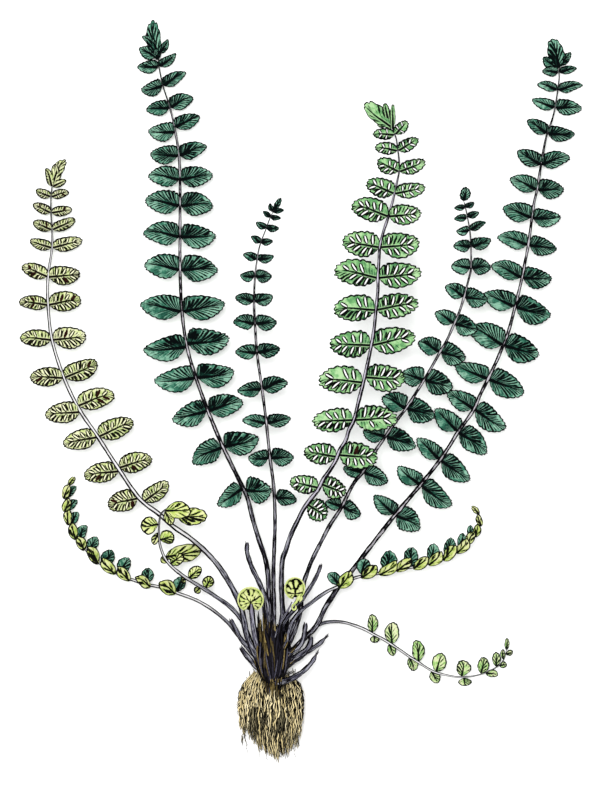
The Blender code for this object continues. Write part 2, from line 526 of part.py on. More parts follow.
def crozier(name, spec, mat, home):
    """A stalk that swells into a closed round head."""
    pts, (za, zb), half, head, (rx, ry, rz) = spec
    path = Path(pts, [(0, za), (0.45, zb - 0.3), (1, zb)])
    s0 = 0.0
    while s0 < 40:
        c, t = path.at(s0), path.along(s0)
        side = Vector((-t.y, t.x, 0)).normalized() * half * PX
        up = Vector((0, 0, half * PX))
        if clear_of_crown([c, c + side, c - side, c + up, c - up]):
            break
        s0 += 0.5
    n = 5
    points = [path.at(s0 + (path.length - 1.0 - s0) * i / (n - 1)) for i in range(n)]
    radii = [half * PX] * n
    centre = spot(*head, zb + 0.3)
    axis = (centre - points[-1]).normalized()
    size = ry * PX
    for k in range(1, 10):
        u = -0.94 + 1.92 * k / 9.0
        points.append(centre + axis * size * u)
        radii.append(max(rx * PX * math.sqrt(max(1 - u * u, 0)), 0.15 * MM))
    return rod(name, points, radii, mat, home, 2)


def crown(mat, home):
    """The short rhizome: a lumpy egg."""
    bm = bmesh.new()
    bmesh.ops.create_uvsphere(bm, u_segments=16, v_segments=11, radius=1.0)
    c = spot(*CROWN_AT)
    for v in bm.verts:
        x, y, z = v.co
        k = 1.0 - 0.05 * (0.5 + 0.5 * math.sin(5 * math.atan2(z, x) + 4 * y))
        v.co = c + Vector((x * CROWN_R[0] * k, y * CROWN_R[1], z * CROWN_R[2] * k))
    mesh = bpy.data.meshes.new("crown")
    bm.to_mesh(mesh)
    bm.free()
    mesh.shade_smooth()
    return add("crown", mesh, mat, home)


# Root tuft: half width, centre line and height along the plan's y, in cells
# and mm, each as keys on y.
ROOT_X = [(672, 262), (690, 268), (705, 269), (725, 270), (745, 270), (762, 276)]
ROOT_HALF = [(672, 14), (680, 24), (692, 31), (706, 34.5), (725, 29.5), (742, 23), (755, 12), (762, 4)]
ROOT_TOP = [(672, 5.0), (684, 8.0), (700, 11.6), (722, 11.2), (742, 8.4), (755, 4.6), (762, 2.2)]


def roots(mat, home):
    """The root tuft: a tapering bundle with a flat underside, and a socket for the crown."""
    bm = bmesh.new()
    bmesh.ops.create_uvsphere(bm, u_segments=22, v_segments=15, radius=1.0)
    y0, y1 = 670.0, 764.0
    for v in bm.verts:
        x, z, y = v.co                      # poles run along the tuft
        t = 0.5 - 0.5 * y
        gy = y0 + (y1 - y0) * t
        r = math.hypot(x, z) or 1e-6
        full = min(1.0, r / 0.36)
        cx, half, top = (smooth(k, min(max(gy, 672), 762)) for k in (ROOT_X, ROOT_HALF, ROOT_TOP))
        ang = math.atan2(z, x)
        wave = 1.0 + 0.045 * math.sin(9 * ang + 0.05 * gy)
        px = cx + half * full * wave * math.cos(ang)
        mid = 0.46 * top
        high = mid + (top - mid) * full * wave * math.sin(ang)
        if math.sin(ang) < 0:
            high = mid + mid * 1.35 * full * math.sin(ang)
        v.co = spot(px, gy, max(high, 0.0))
    mesh = bpy.data.meshes.new("root_tuft")
    bmesh.ops.remove_doubles(bm, verts=bm.verts, dist=1e-6)
    bmesh.ops.recalc_face_normals(bm, faces=bm.faces)
    bm.to_mesh(mesh)
    bm.free()
    mesh.shade_smooth()
    ob = add("root_tuft", mesh, mat, home)

    cut = bmesh.new()
    bmesh.ops.create_uvsphere(cut, u_segments=16, v_segments=11, radius=1.0)
    c = spot(*CROWN_AT)
    for v in cut.verts:
        v.co = c + Vector((v.co.x * (CROWN_R[0] + 0.0005), v.co.y * (CROWN_R[1] + 0.0005),
                           v.co.z * (CROWN_R[2] + 0.0005)))
    tool = bpy.data.meshes.new("crown_socket")
    cut.to_mesh(tool)
    cut.free()
    cutter = bpy.data.objects.new("crown_socket", tool)
    cutter.hide_render = True
    cutter.display_type = "WIRE"
    aside.objects.link(cutter)
    mod = ob.modifiers.new("Socket", "BOOLEAN")
    mod.operation = "DIFFERENCE"
    mod.object = cutter
    return ob


for ob in list(bpy.data.objects):
    bpy.data.objects.remove(ob, do_unlink=True)

fern = bpy.data.collections.new("maidenhair_spleenwort")
aside = bpy.data.collections.new("cutters")
bpy.context.scene.collection.children.link(fern)
bpy.context.scene.collection.children.link(aside)

dark = material("leaf_dark_green", (0.032, 0.155, 0.095), 0.5)
middle = material("leaf_mid_green", (0.20, 0.45, 0.16), 0.55)
pale = material("leaf_pale_green", (0.60, 0.72, 0.25), 0.6)
young = material("leaf_young_green", (0.52, 0.66, 0.13), 0.55)
light = material("leaf_light_green", (0.36, 0.62, 0.18), 0.55)
stalk = material("stalk_dark", (0.11, 0.10, 0.12), 0.4)
scale = material("crown_dark", (0.035, 0.028, 0.028), 0.7)
straw = material("root_straw", (0.55, 0.40, 0.18), 0.85)

FROND_COLOUR = {"frond_pale_left": pale, "frond_fertile_middle": middle, "frond_low_left": young,
                "frond_low_right": young, "frond_trailing_right": light, "frond_young_curled": young}
for key, spec in FRONDS.items():
    frond(key, spec, FROND_COLOUR.get(key, dark), fern)
for key, spec in STUBS.items():
    stub(key, spec, stalk, fern)
for key, spec in CROZIERS.items():
    crozier(key, spec, young, fern)
crown(scale, fern)
roots(straw, fern)
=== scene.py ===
import json
import math

import bpy
import numpy as np
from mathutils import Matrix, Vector
from mathutils.bvhtree import BVHTree

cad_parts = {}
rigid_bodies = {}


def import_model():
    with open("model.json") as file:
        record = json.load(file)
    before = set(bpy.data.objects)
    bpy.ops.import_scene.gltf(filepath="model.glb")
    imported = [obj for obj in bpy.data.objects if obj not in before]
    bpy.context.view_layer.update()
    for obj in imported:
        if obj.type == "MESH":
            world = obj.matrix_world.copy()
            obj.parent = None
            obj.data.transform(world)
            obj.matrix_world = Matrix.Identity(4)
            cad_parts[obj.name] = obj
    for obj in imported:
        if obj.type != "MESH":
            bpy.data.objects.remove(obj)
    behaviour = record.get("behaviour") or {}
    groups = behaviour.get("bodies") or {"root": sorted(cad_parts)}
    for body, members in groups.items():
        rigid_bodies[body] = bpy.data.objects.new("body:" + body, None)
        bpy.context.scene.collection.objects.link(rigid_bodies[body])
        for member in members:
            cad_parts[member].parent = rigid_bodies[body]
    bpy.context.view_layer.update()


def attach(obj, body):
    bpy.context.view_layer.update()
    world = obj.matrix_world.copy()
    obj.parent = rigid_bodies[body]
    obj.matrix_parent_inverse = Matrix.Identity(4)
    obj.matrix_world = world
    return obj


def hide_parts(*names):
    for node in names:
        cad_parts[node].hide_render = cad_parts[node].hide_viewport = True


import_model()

PX = 0.00024                    # one cell of the plan grid
MM = 0.001
MID = (300.0, 400.0)            # middle of the plan
ORIGIN = (268.0, 714.0)         # plan cell over the origin
EYE = 1.5                       # height that the plan is seen from

CROWN_AT = (273.0, 655.0, 8.5)  # plan x, plan y, height in mm
CROWN_R = (0.0039, 0.0072, 0.0055)

# Fronds: path of the stalk and midrib from the crown to the tip, heights along
# it as (part of the length, mm), stalk width in cells at the crown and the tip.
# A leaflet is (node, tip, width); side -1 is the left of the direction of
# growth, +1 the right. drop is how far a leaflet's tip falls per unit of its
# length, roll lifts the left side and lowers the right.
FRONDS = {
    "frond_pale_left": dict(
        path=[(262, 668), (257, 658), (251, 646), (246, 632), (240, 604), (222, 571), (206, 552), (190, 538),
              (174, 527), (159, 514), (139, 498), (118, 468), (98, 437), (79, 409), (64, 378), (52, 340),
              (48, 305), (48, 277), (52, 248), (52, 230), (51, 213), (51, 197), (52, 187), (52, 183)],
        high=[(0, 10.5), (0.12, 11.0), (0.35, 13.5), (0.6, 12.5), (0.85, 6.0), (1, 2.0)],
        width=(7.0, 2.6), drop=0.10, roll=0.05,
        leaves=[((139, 499), (108, 506), 22, -1), ((143, 501), (168, 482), 18, 1),
                ((118, 471), (84, 476), 21, -1), ((121, 466), (152, 459), 21, 1),
                ((97, 438), (63, 444), 21, -1), ((100, 434), (133, 421), 22, 1),
                ((79, 411), (45, 415), 22, -1), ((79, 407), (114, 394), 22, 1),
                ((64, 379), (30, 377), 20, -1), ((64, 379), (97, 362), 21, 1),
                ((52, 340), (20, 338), 18, -1), ((52, 340), (86, 335), 23, 1),
                ((48, 305), (19, 302), 15, -1), ((48, 305), (81, 300), 21, 1),
                ((48, 277), (22, 266), 16, -1), ((48, 277), (80, 273), 20, 1),
                ((52, 248), (30, 240), 12, -1), ((52, 248), (82, 240), 15, 1),
                ((52, 230), (33, 222), 12, -1), ((52, 230), (75, 219), 12, 1),
                ((51, 213), (33, 204), 11, -1), ((51, 213), (72, 209), 11, 1),
                ((51, 197), (36, 190), 10, -1), ((51, 197), (69, 192), 10, 1)],
        tip=((65, 160), 12), lobes=[((46, 168), 9, -1), ((55, 164), 7, -1, (57, 175)), ((66, 180), 8, 1)]),
    "frond_tall_left": dict(
        path=[(272, 640), (271, 625), (270, 611), (269, 598), (268, 575), (265, 558), (259, 540), (253, 520),
              (248, 500), (243, 488), (223, 447), (208, 411), (196, 378), (187, 347), (182, 312), (180, 270),
              (180, 237), (180, 206), (180, 180), (179, 156), (175, 130), (170, 108), (163, 86), (159, 67),
              (158, 58)],
        high=[(0, 8.0), (0.2, 9.0), (0.45, 12.5), (0.75, 9.0), (1, 1.5)],
        width=(6.0, 2.4), drop=0.10, roll=-0.04,
        leaves=[((243, 488), (217, 505), 20, -1), ((245, 490), (272, 490), 27, 1),
                ((223, 447), (192, 463), 24, -1), ((226, 448), (259, 438), 26, 1),
                ((204, 411), (172, 420), 25, -1), ((208, 411), (243, 402), 24, 1),
                ((196, 378), (154, 381), 26, -1), ((196, 378), (234, 371), 26, 1),
                ((187, 347), (143, 350), 26, -1), ((190, 343), (229, 338), 28, 1),
                ((182, 312), (140, 304), 27, -1), ((182, 312), (225, 303), 27, 1),
                ((180, 270), (144, 265), 26, -1), ((180, 270), (218, 270), 28, 1),
                ((180, 237), (143, 233), 25, -1), ((180, 237), (216, 236), 25, 1),
                ((180, 206), (145, 200), 25, -1), ((180, 206), (213, 206), 25, 1),
                ((180, 180), (148, 176), 22, -1), ((180, 180), (213, 175), 22, 1),
                ((179, 156), (150, 154), 20, -1), ((179, 156), (207, 146), 18, 1),
                ((174, 132), (148, 131), 20, -1), ((177, 127), (200, 116), 17, 1),
                ((170, 108), (146, 110), 16, -1), ((170, 108), (193, 97), 18, 1),
                ((163, 86), (141, 90), 16, -1), ((163, 86), (186, 72), 14, 1),
                ((159, 67), (137, 67), 14, -1), ((159, 67), (176, 53), 11, 1)],
        tip=((153, 21), 15), lobes=[((142, 36), 9, -1, (156, 47)), ((139, 48), 15, -1, (157, 57)),
                                    ((168, 39), 9, 1, (158, 55))]),
    "frond_short_middle": dict(
        path=[(274, 642), (274, 625), (274, 600), (273.5, 586), (273.5, 570), (274.5, 540), (275, 525), (274.5, 500),
              (273, 480), (270, 458), (266, 420), (262, 389), (257, 353), (255, 324), (254, 302), (255, 277),
              (257, 260), (260, 245), (266, 229), (270, 218), (273, 212), (274.5, 209)],
        high=[(0, 10.8), (0.1, 11.2), (0.3, 15.0), (0.6, 20.0), (1, 23.0)],
        width=(5.2, 2.0), drop=0.08, roll=-0.06,
        leaves=[((276, 497), (297, 500), 17, 1),
                ((270, 458), (248, 458), 17, -1), ((270, 458), (294, 457), 19, 1),
                ((266, 422), (242, 420), 14, -1), ((266, 422), (291, 418), 15, 1),
                ((262, 390), (237, 391), 16, -1), ((262, 390), (288, 382), 18, 1),
                ((257, 353), (235, 352), 16, -1), ((257, 353), (280, 348), 16, 1),
                ((255, 325), (233, 322), 16, -1), ((255, 325), (277, 322), 17, 1),
                ((253, 301), (235, 297), 13, -1), ((253, 301), (273, 296), 14, 1),
                ((255, 278), (240, 275), 12, -1), ((255, 278), (272, 276), 14, 1),
                ((257, 260), (243, 254), 10, -1), ((257, 260), (274, 256), 10, 1),
                ((260, 244), (251, 236), 8, -1), ((260, 244), (273, 241), 8, 1),
                ((265, 229), (256, 222), 8, -1), ((265, 229), (279, 228), 8, 1),
                ((270, 218), (263, 211), 6, -1), ((270, 218), (281, 218), 6, 1)],
        tip=((281, 198), 6), lobes=[((270, 203), 6, -1), ((284, 210), 6, 1)]),
    "frond_fertile_middle": dict(
        path=[(282, 646), (283, 632), (283.5, 620), (282, 600), (281.5, 580), (282.5, 560), (286, 550), (289, 540),
              (293, 530), (298, 520), (303, 510), (310, 500), (318, 490), (323, 480), (330, 470), (336, 460),
              (340, 450), (346, 440), (349, 430), (354, 420), (359, 400), (364, 380), (370.5, 350), (374, 330),
              (376, 310), (378, 290), (378, 278), (379, 260), (380, 246), (384, 230), (388, 218), (393, 200),
              (397.5, 180), (399, 172), (399, 160), (398, 151), (396.5, 140), (395, 135), (393, 130), (391, 126)],
        high=[(0, 8.2), (0.06, 8.8), (0.14, 13.5), (0.25, 20.0), (0.5, 28.5), (0.75, 31.0), (1, 27.0)],
        width=(6.2, 2.6), drop=0.08, roll=0.04,
        leaves=[((307, 504), (326, 518), 22, 1),
                ((319, 488), (290, 481), 19, -1), ((322, 485), (346, 493), 21, 1),
                ((338, 457), (304, 451), 22, -1), ((341, 456), (377, 458), 27, 1),
                ((354, 420), (313, 421), 24, -1), ((354, 420), (397, 419), 26, 1),
                ((363, 382), (319, 380), 28, -1), ((367, 378), (405, 378), 27, 1),
                ((372, 345), (330, 343), 27, -1), ((372, 345), (415, 336), 27, 1),
                ((376, 311), (334, 309), 27, -1), ((376, 311), (418, 303), 25, 1),
                ((378, 278), (335, 270), 27, -1), ((378, 278), (421, 272), 26, 1),
                ((380, 247), (343, 240), 26, -1), ((380, 247), (419, 242), 26, 1),
                ((388, 217), (352, 205), 24, -1), ((388, 217), (421, 213), 21, 1),
                ((395, 193), (367, 182), 20, -1), ((395, 193), (425, 187), 16, 1),
                ((399, 172), (378, 160), 17, -1), ((399, 172), (425, 161), 15, 1),
                ((398, 151), (375, 147), 13, -1), ((398, 151), (418, 139), 13, 1),
                ((395, 135), (373, 134), 12, -1), ((395, 135), (407, 121), 12, 1)],
        tip=((364.5, 104), 17), lobes=[((377, 124), 8, -1, (387, 124)), ((385, 103), 8, 1, (388, 120)),
                                       ((393, 104), 6, 1)]),
    "frond_slender_right": dict(
        path=[(279, 662), (284, 652), (290, 641), (295, 630), (299, 617), (301, 606), (302, 595), (304, 582),
              (307, 573), (312, 560), (322, 540), (330, 525), (341, 508), (350, 490), (356, 480), (363, 472),
              (372, 458), (376, 450), (383, 440), (391, 428), (397, 420), (407, 407), (419, 388), (424, 380),
              (430, 370), (440, 352), (447, 340), (455, 322), (460, 310), (464, 297), (469, 278), (471, 268),
              (471, 247), (470, 232), (468, 220), (466, 210), (464, 202), (463, 199)],
        high=[(0, 9.2), (0.1, 9.6), (0.25, 13.0), (0.45, 17.5), (0.75, 18.0), (1, 14.0)],
        width=(5.6, 2.2), drop=0.08, roll=-0.05,
        leaves=[((342, 507), (325, 502), 14, -1), ((342, 507), (361, 515), 18, 1),
                ((363, 472), (343, 468), 16, -1), ((363, 472), (388, 482), 20, 1),
                ((386, 437), (363, 431), 20, -1), ((386, 437), (416, 447), 23, 1),
                ((406, 408), (382, 397), 22, -1), ((406, 408), (435, 416), 25, 1),
                ((424, 380), (401, 373), 22, -1), ((424, 380), (453, 388), 25, 1),
                ((440, 352), (418, 342), 20, -1), ((440, 352), (466, 358), 23, 1),
                ((454, 323), (435, 312), 17, -1), ((454, 323), (478, 330), 21, 1),
                ((464, 297), (445, 286), 17, -1), ((464, 297), (488, 299), 20, 1),
                ((471, 268), (451, 266), 17, -1), ((471, 268), (491, 267), 18, 1),
                ((471, 247), (453, 246), 13, -1), ((471, 247), (491, 239), 14, 1),
                ((470, 231), (456, 231), 10, -1), ((470, 231), (486, 222), 9, 1),
                ((467, 218), (454, 219), 8, -1), ((467, 218), (479, 212), 8, 1),
                ((465, 208), (454, 208), 7, -1), ((465, 208), (474, 202), 7, 1)],
        tip=((466, 187), 11), lobes=[]),
    "frond_tall_right": dict(
        path=[(280, 662), (288, 655), (296, 647), (303, 640), (309, 634), (314, 629), (319, 621), (325, 608),
              (332, 597), (338, 588), (354, 568), (370, 547), (395, 515), (417, 489), (430, 473), (440, 460),
              (450, 445), (458, 432), (466, 421), (474, 409), (480, 395), (488, 379), (497, 360), (502, 348),
              (508, 333), (515, 307), (522, 278), (525, 262), (528, 247), (531, 225), (534, 203), (537, 190),
              (541, 165), (546, 138), (552, 120), (555, 108), (557, 95), (559, 80), (559, 72), (559, 66)],
        high=[(0, 7.4), (0.14, 7.5), (0.3, 8.6), (0.5, 9.5), (0.75, 7.0), (1, 1.5)],
        width=(6.2, 2.4), drop=0.09, roll=0.05,
        leaves=[((395, 515), (374, 495), 19, -1), ((395, 515), (420, 529), 25, 1),
                ((420, 485), (398, 466), 19, -1), ((420, 485), (452, 505), 23, 1),
                ((440, 460), (417, 438), 19, -1), ((440, 460), (470, 480), 23, 1),
                ((457, 432), (435, 409), 22, -1), ((457, 432), (487, 453), 24, 1),
                ((474, 409), (447, 392), 21, -1), ((474, 409), (506, 428), 24, 1),
                ((488, 379), (455, 364), 22, -1), ((488, 379), (524, 393), 27, 1),
                ((501, 345), (468, 327), 27, -1), ((501, 345), (539, 355), 28, 1),
                ((515, 307), (484, 293), 23, -1), ((515, 307), (551, 315), 27, 1),
                ((522, 277), (491, 265), 20, -1), ((522, 277), (552, 278), 22, 1),
                ((528, 246), (497, 237), 19, -1), ((528, 246), (557, 249), 20, 1),
                ((531, 218), (503, 207), 22, -1), ((531, 218), (561, 217), 19, 1),
                ((536, 189), (510, 178), 19, -1), ((536, 189), (564, 189), 21, 1),
                ((540, 165), (517, 151), 18, -1), ((540, 165), (570, 157), 18, 1),
                ((547, 133), (527, 120), 15, -1), ((547, 133), (575, 134), 16, 1),
                ((555, 108), (532, 99), 13, -1), ((555, 108), (582, 108), 17, 1),
                ((558, 91), (537, 84), 11, -1), ((558, 91), (583, 85), 12, 1),
                ((559, 73), (542, 71), 11, -1), ((559, 73), (577, 68), 9, 1)],
        tip=((552, 39), 17), lobes=[((543, 57), 13, -1, (557, 67)), ((571, 52), 10, 1, (559, 67))]),
    # Seen on edge: the left row of leaflets stands up, the right row hangs down.
    "frond_low_left": dict(
        path=[(262, 663), (250, 650), (242, 640), (236, 633), (231, 626), (225, 620), (218, 614), (210, 608),
              (200, 602), (190, 597.5), (180, 594), (172, 591), (163, 588), (155, 586), (148, 585), (141, 583),
              (133, 580), (126, 578), (118, 574), (110, 570), (102, 564.5), (96, 561), (91, 556), (86, 550),
              (81, 544.5), (77, 539), (72.5, 532), (70, 526), (67.5, 519), (66, 511), (65.5, 503), (65.5, 495),
              (67, 488), (69, 484)],
        high=[(0, 4.6), (0.2, 5.0), (0.5, 6.0), (0.8, 5.5), (1, 4.0)],
        width=(4.4, 2.6), drop=0.0, roll=0.0, edge=(0.28, 0.40), stand=(3.4, -3.0),
        leaves=[((176, 592), (159, 582), 15, -1), ((177, 593), (182, 577), 13, 1),
                ((151, 585), (135, 577), 11, -1), ((146, 584), (149, 568), 13, 1),
                ((130, 580), (118.5, 566), 12, -1), ((120, 575), (129, 558), 14, 1),
                ((116, 573), (103, 557.5), 12.5, -1), ((103, 565), (112, 550), 14, 1),
                ((99, 563), (88, 546.5), 12, -1), ((88, 552), (97, 537), 12, 1),
                ((85, 550), (78, 536), 11, -1), ((79, 542), (86, 525), 11, 1),
                ((77, 539), (72.5, 522.5), 10, -1), ((70, 526), (78, 512), 10, 1),
                ((69, 525), (69.5, 509.5), 9.5, -1), ((66, 511), (77, 500), 9, 1),
                ((66, 512), (69, 498), 9.5, -1), ((65.5, 499), (76, 486), 8, 1),
                ((65.5, 499), (69.5, 484), 9, -1)],
        tip=((75, 477), 6), lobes=[]),
    "frond_low_right": dict(
        path=[(280, 652), (286, 644), (288, 634), (291, 624), (296, 616), (304, 608), (311, 603), (318, 597.5),
              (328, 591), (338, 586.5), (345, 583), (352, 579), (360, 576.5), (370, 575), (380, 573), (390, 571),
              (400, 569), (410, 567.5), (420, 566), (430, 563), (440, 560), (446, 557.5), (452, 554), (458, 550.5),
              (464, 546), (470, 540.5), (475, 535), (478.5, 529), (480, 523), (480, 517), (478.5, 512.5)],
        high=[(0, 12.4), (0.06, 13.4), (0.3, 13.8), (0.6, 11.4), (1, 8.4)],
        width=(5.0, 2.2), drop=0.0, roll=0.0, edge=(0.14, 0.26), stand=(3.4, -3.4),
        leaves=[((338, 586.5), (351.5, 571), 14, -1), ((340, 585.5), (328, 573.5), 12, 1),
                ((361, 576.5), (377, 565.5), 12, -1), ((362, 576.5), (365, 558.5), 15, 1, 0.8),
                ((379, 573), (396.5, 560.5), 12.5, -1), ((385, 572), (390, 550.5), 17, 1),
                ((396.5, 570), (411.5, 558), 12, -1), ((409, 568), (413, 547.5), 15, 1),
                ((412.5, 567), (428.5, 557), 11, -1), ((430, 563), (434, 543.5), 13, 1),
                ((428.5, 563.5), (442, 551.5), 12, -1), ((447, 557.5), (450.5, 537.5), 12, 1),
                ((442.5, 559), (457, 546), 12, -1), ((459, 550), (463, 533), 10, 1),
                ((456, 552), (467.5, 538.5), 11, -1), ((471, 540), (470.5, 525), 7, 1),
                ((466.5, 544), (474.5, 531), 9.5, -1),
                ((474.5, 536), (478, 523.5), 8.5, -1),
                ((479, 526), (478, 514), 7, -1)],
        tip=((472, 506), 6), lobes=[]),
    "frond_trailing_right": dict(
        path=[(280, 662), (289, 653), (297, 645), (304, 637), (312, 630), (318, 625.5), (325, 622.5), (335, 621.5),
              (345, 622.5), (355, 625.5), (365, 629.5), (373, 634), (382, 638.5), (391, 644), (400, 650),
              (410, 657), (418, 662), (428, 668.5), (436, 672.5), (446, 675), (458, 677), (470, 676.5),
              (480, 674.5), (488, 671.5), (495, 668), (500, 664.5), (504, 659), (506, 652), (507, 648)],
        high=[(0, 4.8), (0.3, 5.2), (0.7, 4.2), (1, 2.2)],
        width=(4.4, 2.0), drop=0.10, roll=0.30,
        leaves=[((373, 633), (372, 614), 11, -1), ((375, 635), (374, 643), 10, 1),
                ((392, 644), (393, 622), 15, -1), ((389, 643), (393, 656), 9, 1),
                ((419, 662), (416, 640), 13, -1), ((409, 657), (414, 671), 11, 1),
                ((436, 672), (442, 653), 15, -1), ((431, 671), (438, 683), 11, 1),
                ((462, 677), (463, 660), 15, -1), ((464, 677), (465, 686), 14, 1),
                ((481, 674), (484, 657), 12, -1), ((485, 674), (498, 675), 8, 1),
                ((496, 667), (496, 652), 9, -1), ((499, 666), (507, 665), 7, 1),
                ((503, 660), (503, 649), 5, -1), ((506, 655), (513, 651), 6, 1)],
        tip=((507, 638), 5), lobes=[]),
    "frond_young_curled": dict(
        path=[(258, 660), (252, 645), (247, 632), (242, 621), (236, 613), (228, 605), (218, 598), (206, 590),
              (196, 584), (187, 578.5), (178, 572), (171, 566), (166, 560), (162.5, 553), (160, 545), (159, 537),
              (159, 528), (159.5, 520), (161, 514), (165.5, 509.5), (171, 508), (176, 510), (178, 515),
              (177.5, 519)],
        high=[(0, 6.6), (0.2, 7.2), (0.45, 12.0), (0.7, 17.0), (0.85, 19.5), (1, 20.5)],
        width=(5.6, 3.0), drop=0.0, roll=0.0,
        leaves=[((201, 587), (195, 593), 8, -1), ((205, 589), (211, 576), 12, 1),
                ((187, 579), (181, 581.5), 7, -1), ((188, 578), (201, 567), 12, 1),
                ((168, 564), (161, 557), 8, -1), ((170, 564), (184, 556), 14, 1, -1.0),
                ((165, 557), (202, 548), 18, 1, -6.5),
                ((159, 532), (154, 545), 8, -1, -1.5), ((160, 540), (174, 535), 15, 1, 1.0),
                ((159, 524), (140.5, 527), 18, -1, 0.5),
                ((165, 512), (191, 512), 18, -1, 1.5), ((165, 511), (172, 525), 11, 1, -0.6)],
        tip=((207, 516), 18), lobes=[]),
}

# Old stalks: centre line from the broken end to the crown, height at both
# ends in mm, width in cells at both ends.
STUBS = {
    "stipe_stub_1": ([(247, 543), (247, 552), (249.5, 561), (253, 570), (258, 580), (262, 589), (265, 598),
                      (267, 607), (268, 618), (269, 632), (270, 645)], (13.5, 12.4), (4.6, 5.6)),
    "stipe_stub_2": ([(321, 565), (318, 573), (313.5, 582), (308.5, 590), (303.5, 597.5), (298, 605), (292, 612),
                      (286.5, 618.5), (282, 626), (278, 638)], (14.5, 10.8), (3.8, 5.0)),
    "stipe_stub_3": ([(231, 620), (235, 628), (239, 636), (244, 643), (249, 649), (254, 655), (260, 662)],
                     (8.6, 8.2), (4.6, 5.0)),
    "stipe_stub_4": ([(241, 648), (246, 655), (252, 662), (258, 668), (266, 673)], (7.4, 7.6), (5.0, 6.0)),
    "stipe_stub_5": ([(311, 637), (310, 644), (306, 650), (299, 655), (290, 660), (280, 664)], (9.4, 8.8),
                     (5.6, 6.4)),
    "stipe_stub_6": ([(325, 638), (320, 643), (313, 648), (305, 653), (297, 659), (286, 665)], (5.6, 6.2),
                     (4.4, 6.0)),
    "stipe_stub_7": ([(316, 655), (312, 662), (305, 669.5), (297, 675.5), (288, 680), (278, 682), (270, 676)],
                     (9.6, 11.5), (4.4, 7.0)),
    "stipe_stub_8": ([(305.5, 624), (304.5, 632), (303, 640), (298.5, 647.5), (291, 652.5), (282, 658)],
                     (11.6, 11.2), (5.0, 5.4)),
    "stipe_stub_9": ([(294.5, 622), (291.5, 630), (288, 637), (284, 643), (278, 650)], (11.2, 11.2), (5.0, 5.2)),
}

# Coiled young fronds: stalk from the crown, then the head, with the half
# widths in cells along it.
CROZIERS = {
    "crozier_left": ([(262, 655), (257, 645), (254, 630), (252.5, 618), (252, 611)], (8.5, 15.0), 2.6,
                     (251, 600), (11.5, 11.5, 2.4)),
    "crozier_right": ([(273, 652), (275, 640), (277, 631), (281, 622), (287, 612), (292, 602)], (12.8, 15.4), 2.2,
                      (295, 588.5), (9.2, 10.2, 2.0)),
}
# Root tuft: half width, centre line and height along the plan's y, in cells
# and mm, each as keys on y.
ROOT_X = [(672, 262), (690, 268), (705, 269), (725, 270), (745, 270), (762, 276)]
ROOT_HALF = [(672, 14), (680, 24), (692, 31), (706, 34.5), (725, 29.5), (742, 23), (755, 12), (762, 4)]
ROOT_TOP = [(672, 5.0), (684, 8.0), (700, 11.6), (722, 11.2), (742, 8.4), (755, 4.6), (762, 2.2)]



# ---------------------------------------------------------------- plan and paths
def spots(x, y, high):
    """World points over plan cells (x, y) at heights in millimetres."""
    x, y, z = np.broadcast_arrays(np.asarray(x, float), np.asarray(y, float), np.asarray(high, float) * MM)
    near = 1.0 - z / EYE
    return np.stack([(MID[0] - ORIGIN[0] + (x - MID[0]) * near) * PX,
                     (ORIGIN[1] - MID[1] + (MID[1] - y) * near) * PX, z], axis=-1)


def smooth(keys, t):
    """Values at t on a smooth curve through (t, value) keys."""
    xs, ys = np.array(keys, float).T
    n = len(xs)
    lo, hi = np.maximum(np.arange(n) - 1, 0), np.minimum(np.arange(n) + 1, n - 1)
    slope = (ys[hi] - ys[lo]) / (xs[hi] - xs[lo])
    t = np.clip(np.asarray(t, float), xs[0], xs[-1])
    i = np.clip(np.searchsorted(xs, t, side="right") - 1, 0, n - 2)
    h = xs[i + 1] - xs[i]
    u = (t - xs[i]) / h
    return ((2 * u**3 - 3 * u**2 + 1) * ys[i] + (u**3 - 2 * u**2 + u) * h * slope[i]
            + (-2 * u**3 + 3 * u**2) * ys[i + 1] + (u**3 - u**2) * h * slope[i + 1])


def ease(x, lo, hi):
    """0 below lo, 1 above hi, smooth between; lo may be the larger."""
    u = np.clip((np.asarray(x, float) - lo) / (hi - lo), 0, 1)
    return u * u * (3 - 2 * u)


def unit(v):
    v = np.asarray(v, float)
    return v / np.maximum(np.linalg.norm(v, axis=-1, keepdims=True), 1e-12)


class Path:
    """A smooth curve through plan points, measured along its length in cells."""

    def __init__(self, points, high):
        p = [np.array(q, float) for q in points]
        p = [2 * p[0] - p[1]] + p + [2 * p[-1] - p[-2]]
        fine = []
        for i in range(1, len(p) - 2):
            for k in range(10):
                u = k / 10
                fine.append(0.5 * (2 * p[i] + (p[i + 1] - p[i - 1]) * u
                                   + (2 * p[i - 1] - 5 * p[i] + 4 * p[i + 1] - p[i + 2]) * u * u
                                   + (3 * p[i] - p[i - 1] - 3 * p[i + 1] + p[i + 2]) * u**3))
        fine.append(p[-2])
        self.fine = np.array(fine)
        self.run = np.concatenate([[0], np.cumsum(np.linalg.norm(np.diff(self.fine, axis=0), axis=1))])
        self.length = float(self.run[-1])
        self.high = high

    def plan(self, s):
        return np.stack([np.interp(s, self.run, self.fine[:, 0]), np.interp(s, self.run, self.fine[:, 1])], -1)

    def at(self, s):
        p = self.plan(s)
        return spots(p[..., 0], p[..., 1], smooth(self.high, np.asarray(s, float) / self.length))

    def along(self, s):
        s = np.asarray(s, float)
        return unit(self.at(np.minimum(s + 1.5, self.length)) - self.at(np.maximum(s - 1.5, 0)))

    def nearest(self, point):
        gap = np.linalg.norm(self.fine - np.array(point, float), axis=1)
        return float(self.run[int(np.argmin(gap))])


# ---------------------------------------------------------------- mesh building
ATTRS = ("vein", "edge", "rim", "off", "run", "dark", "seed", "tone")
LAID = []                       # names of the pieces made so far


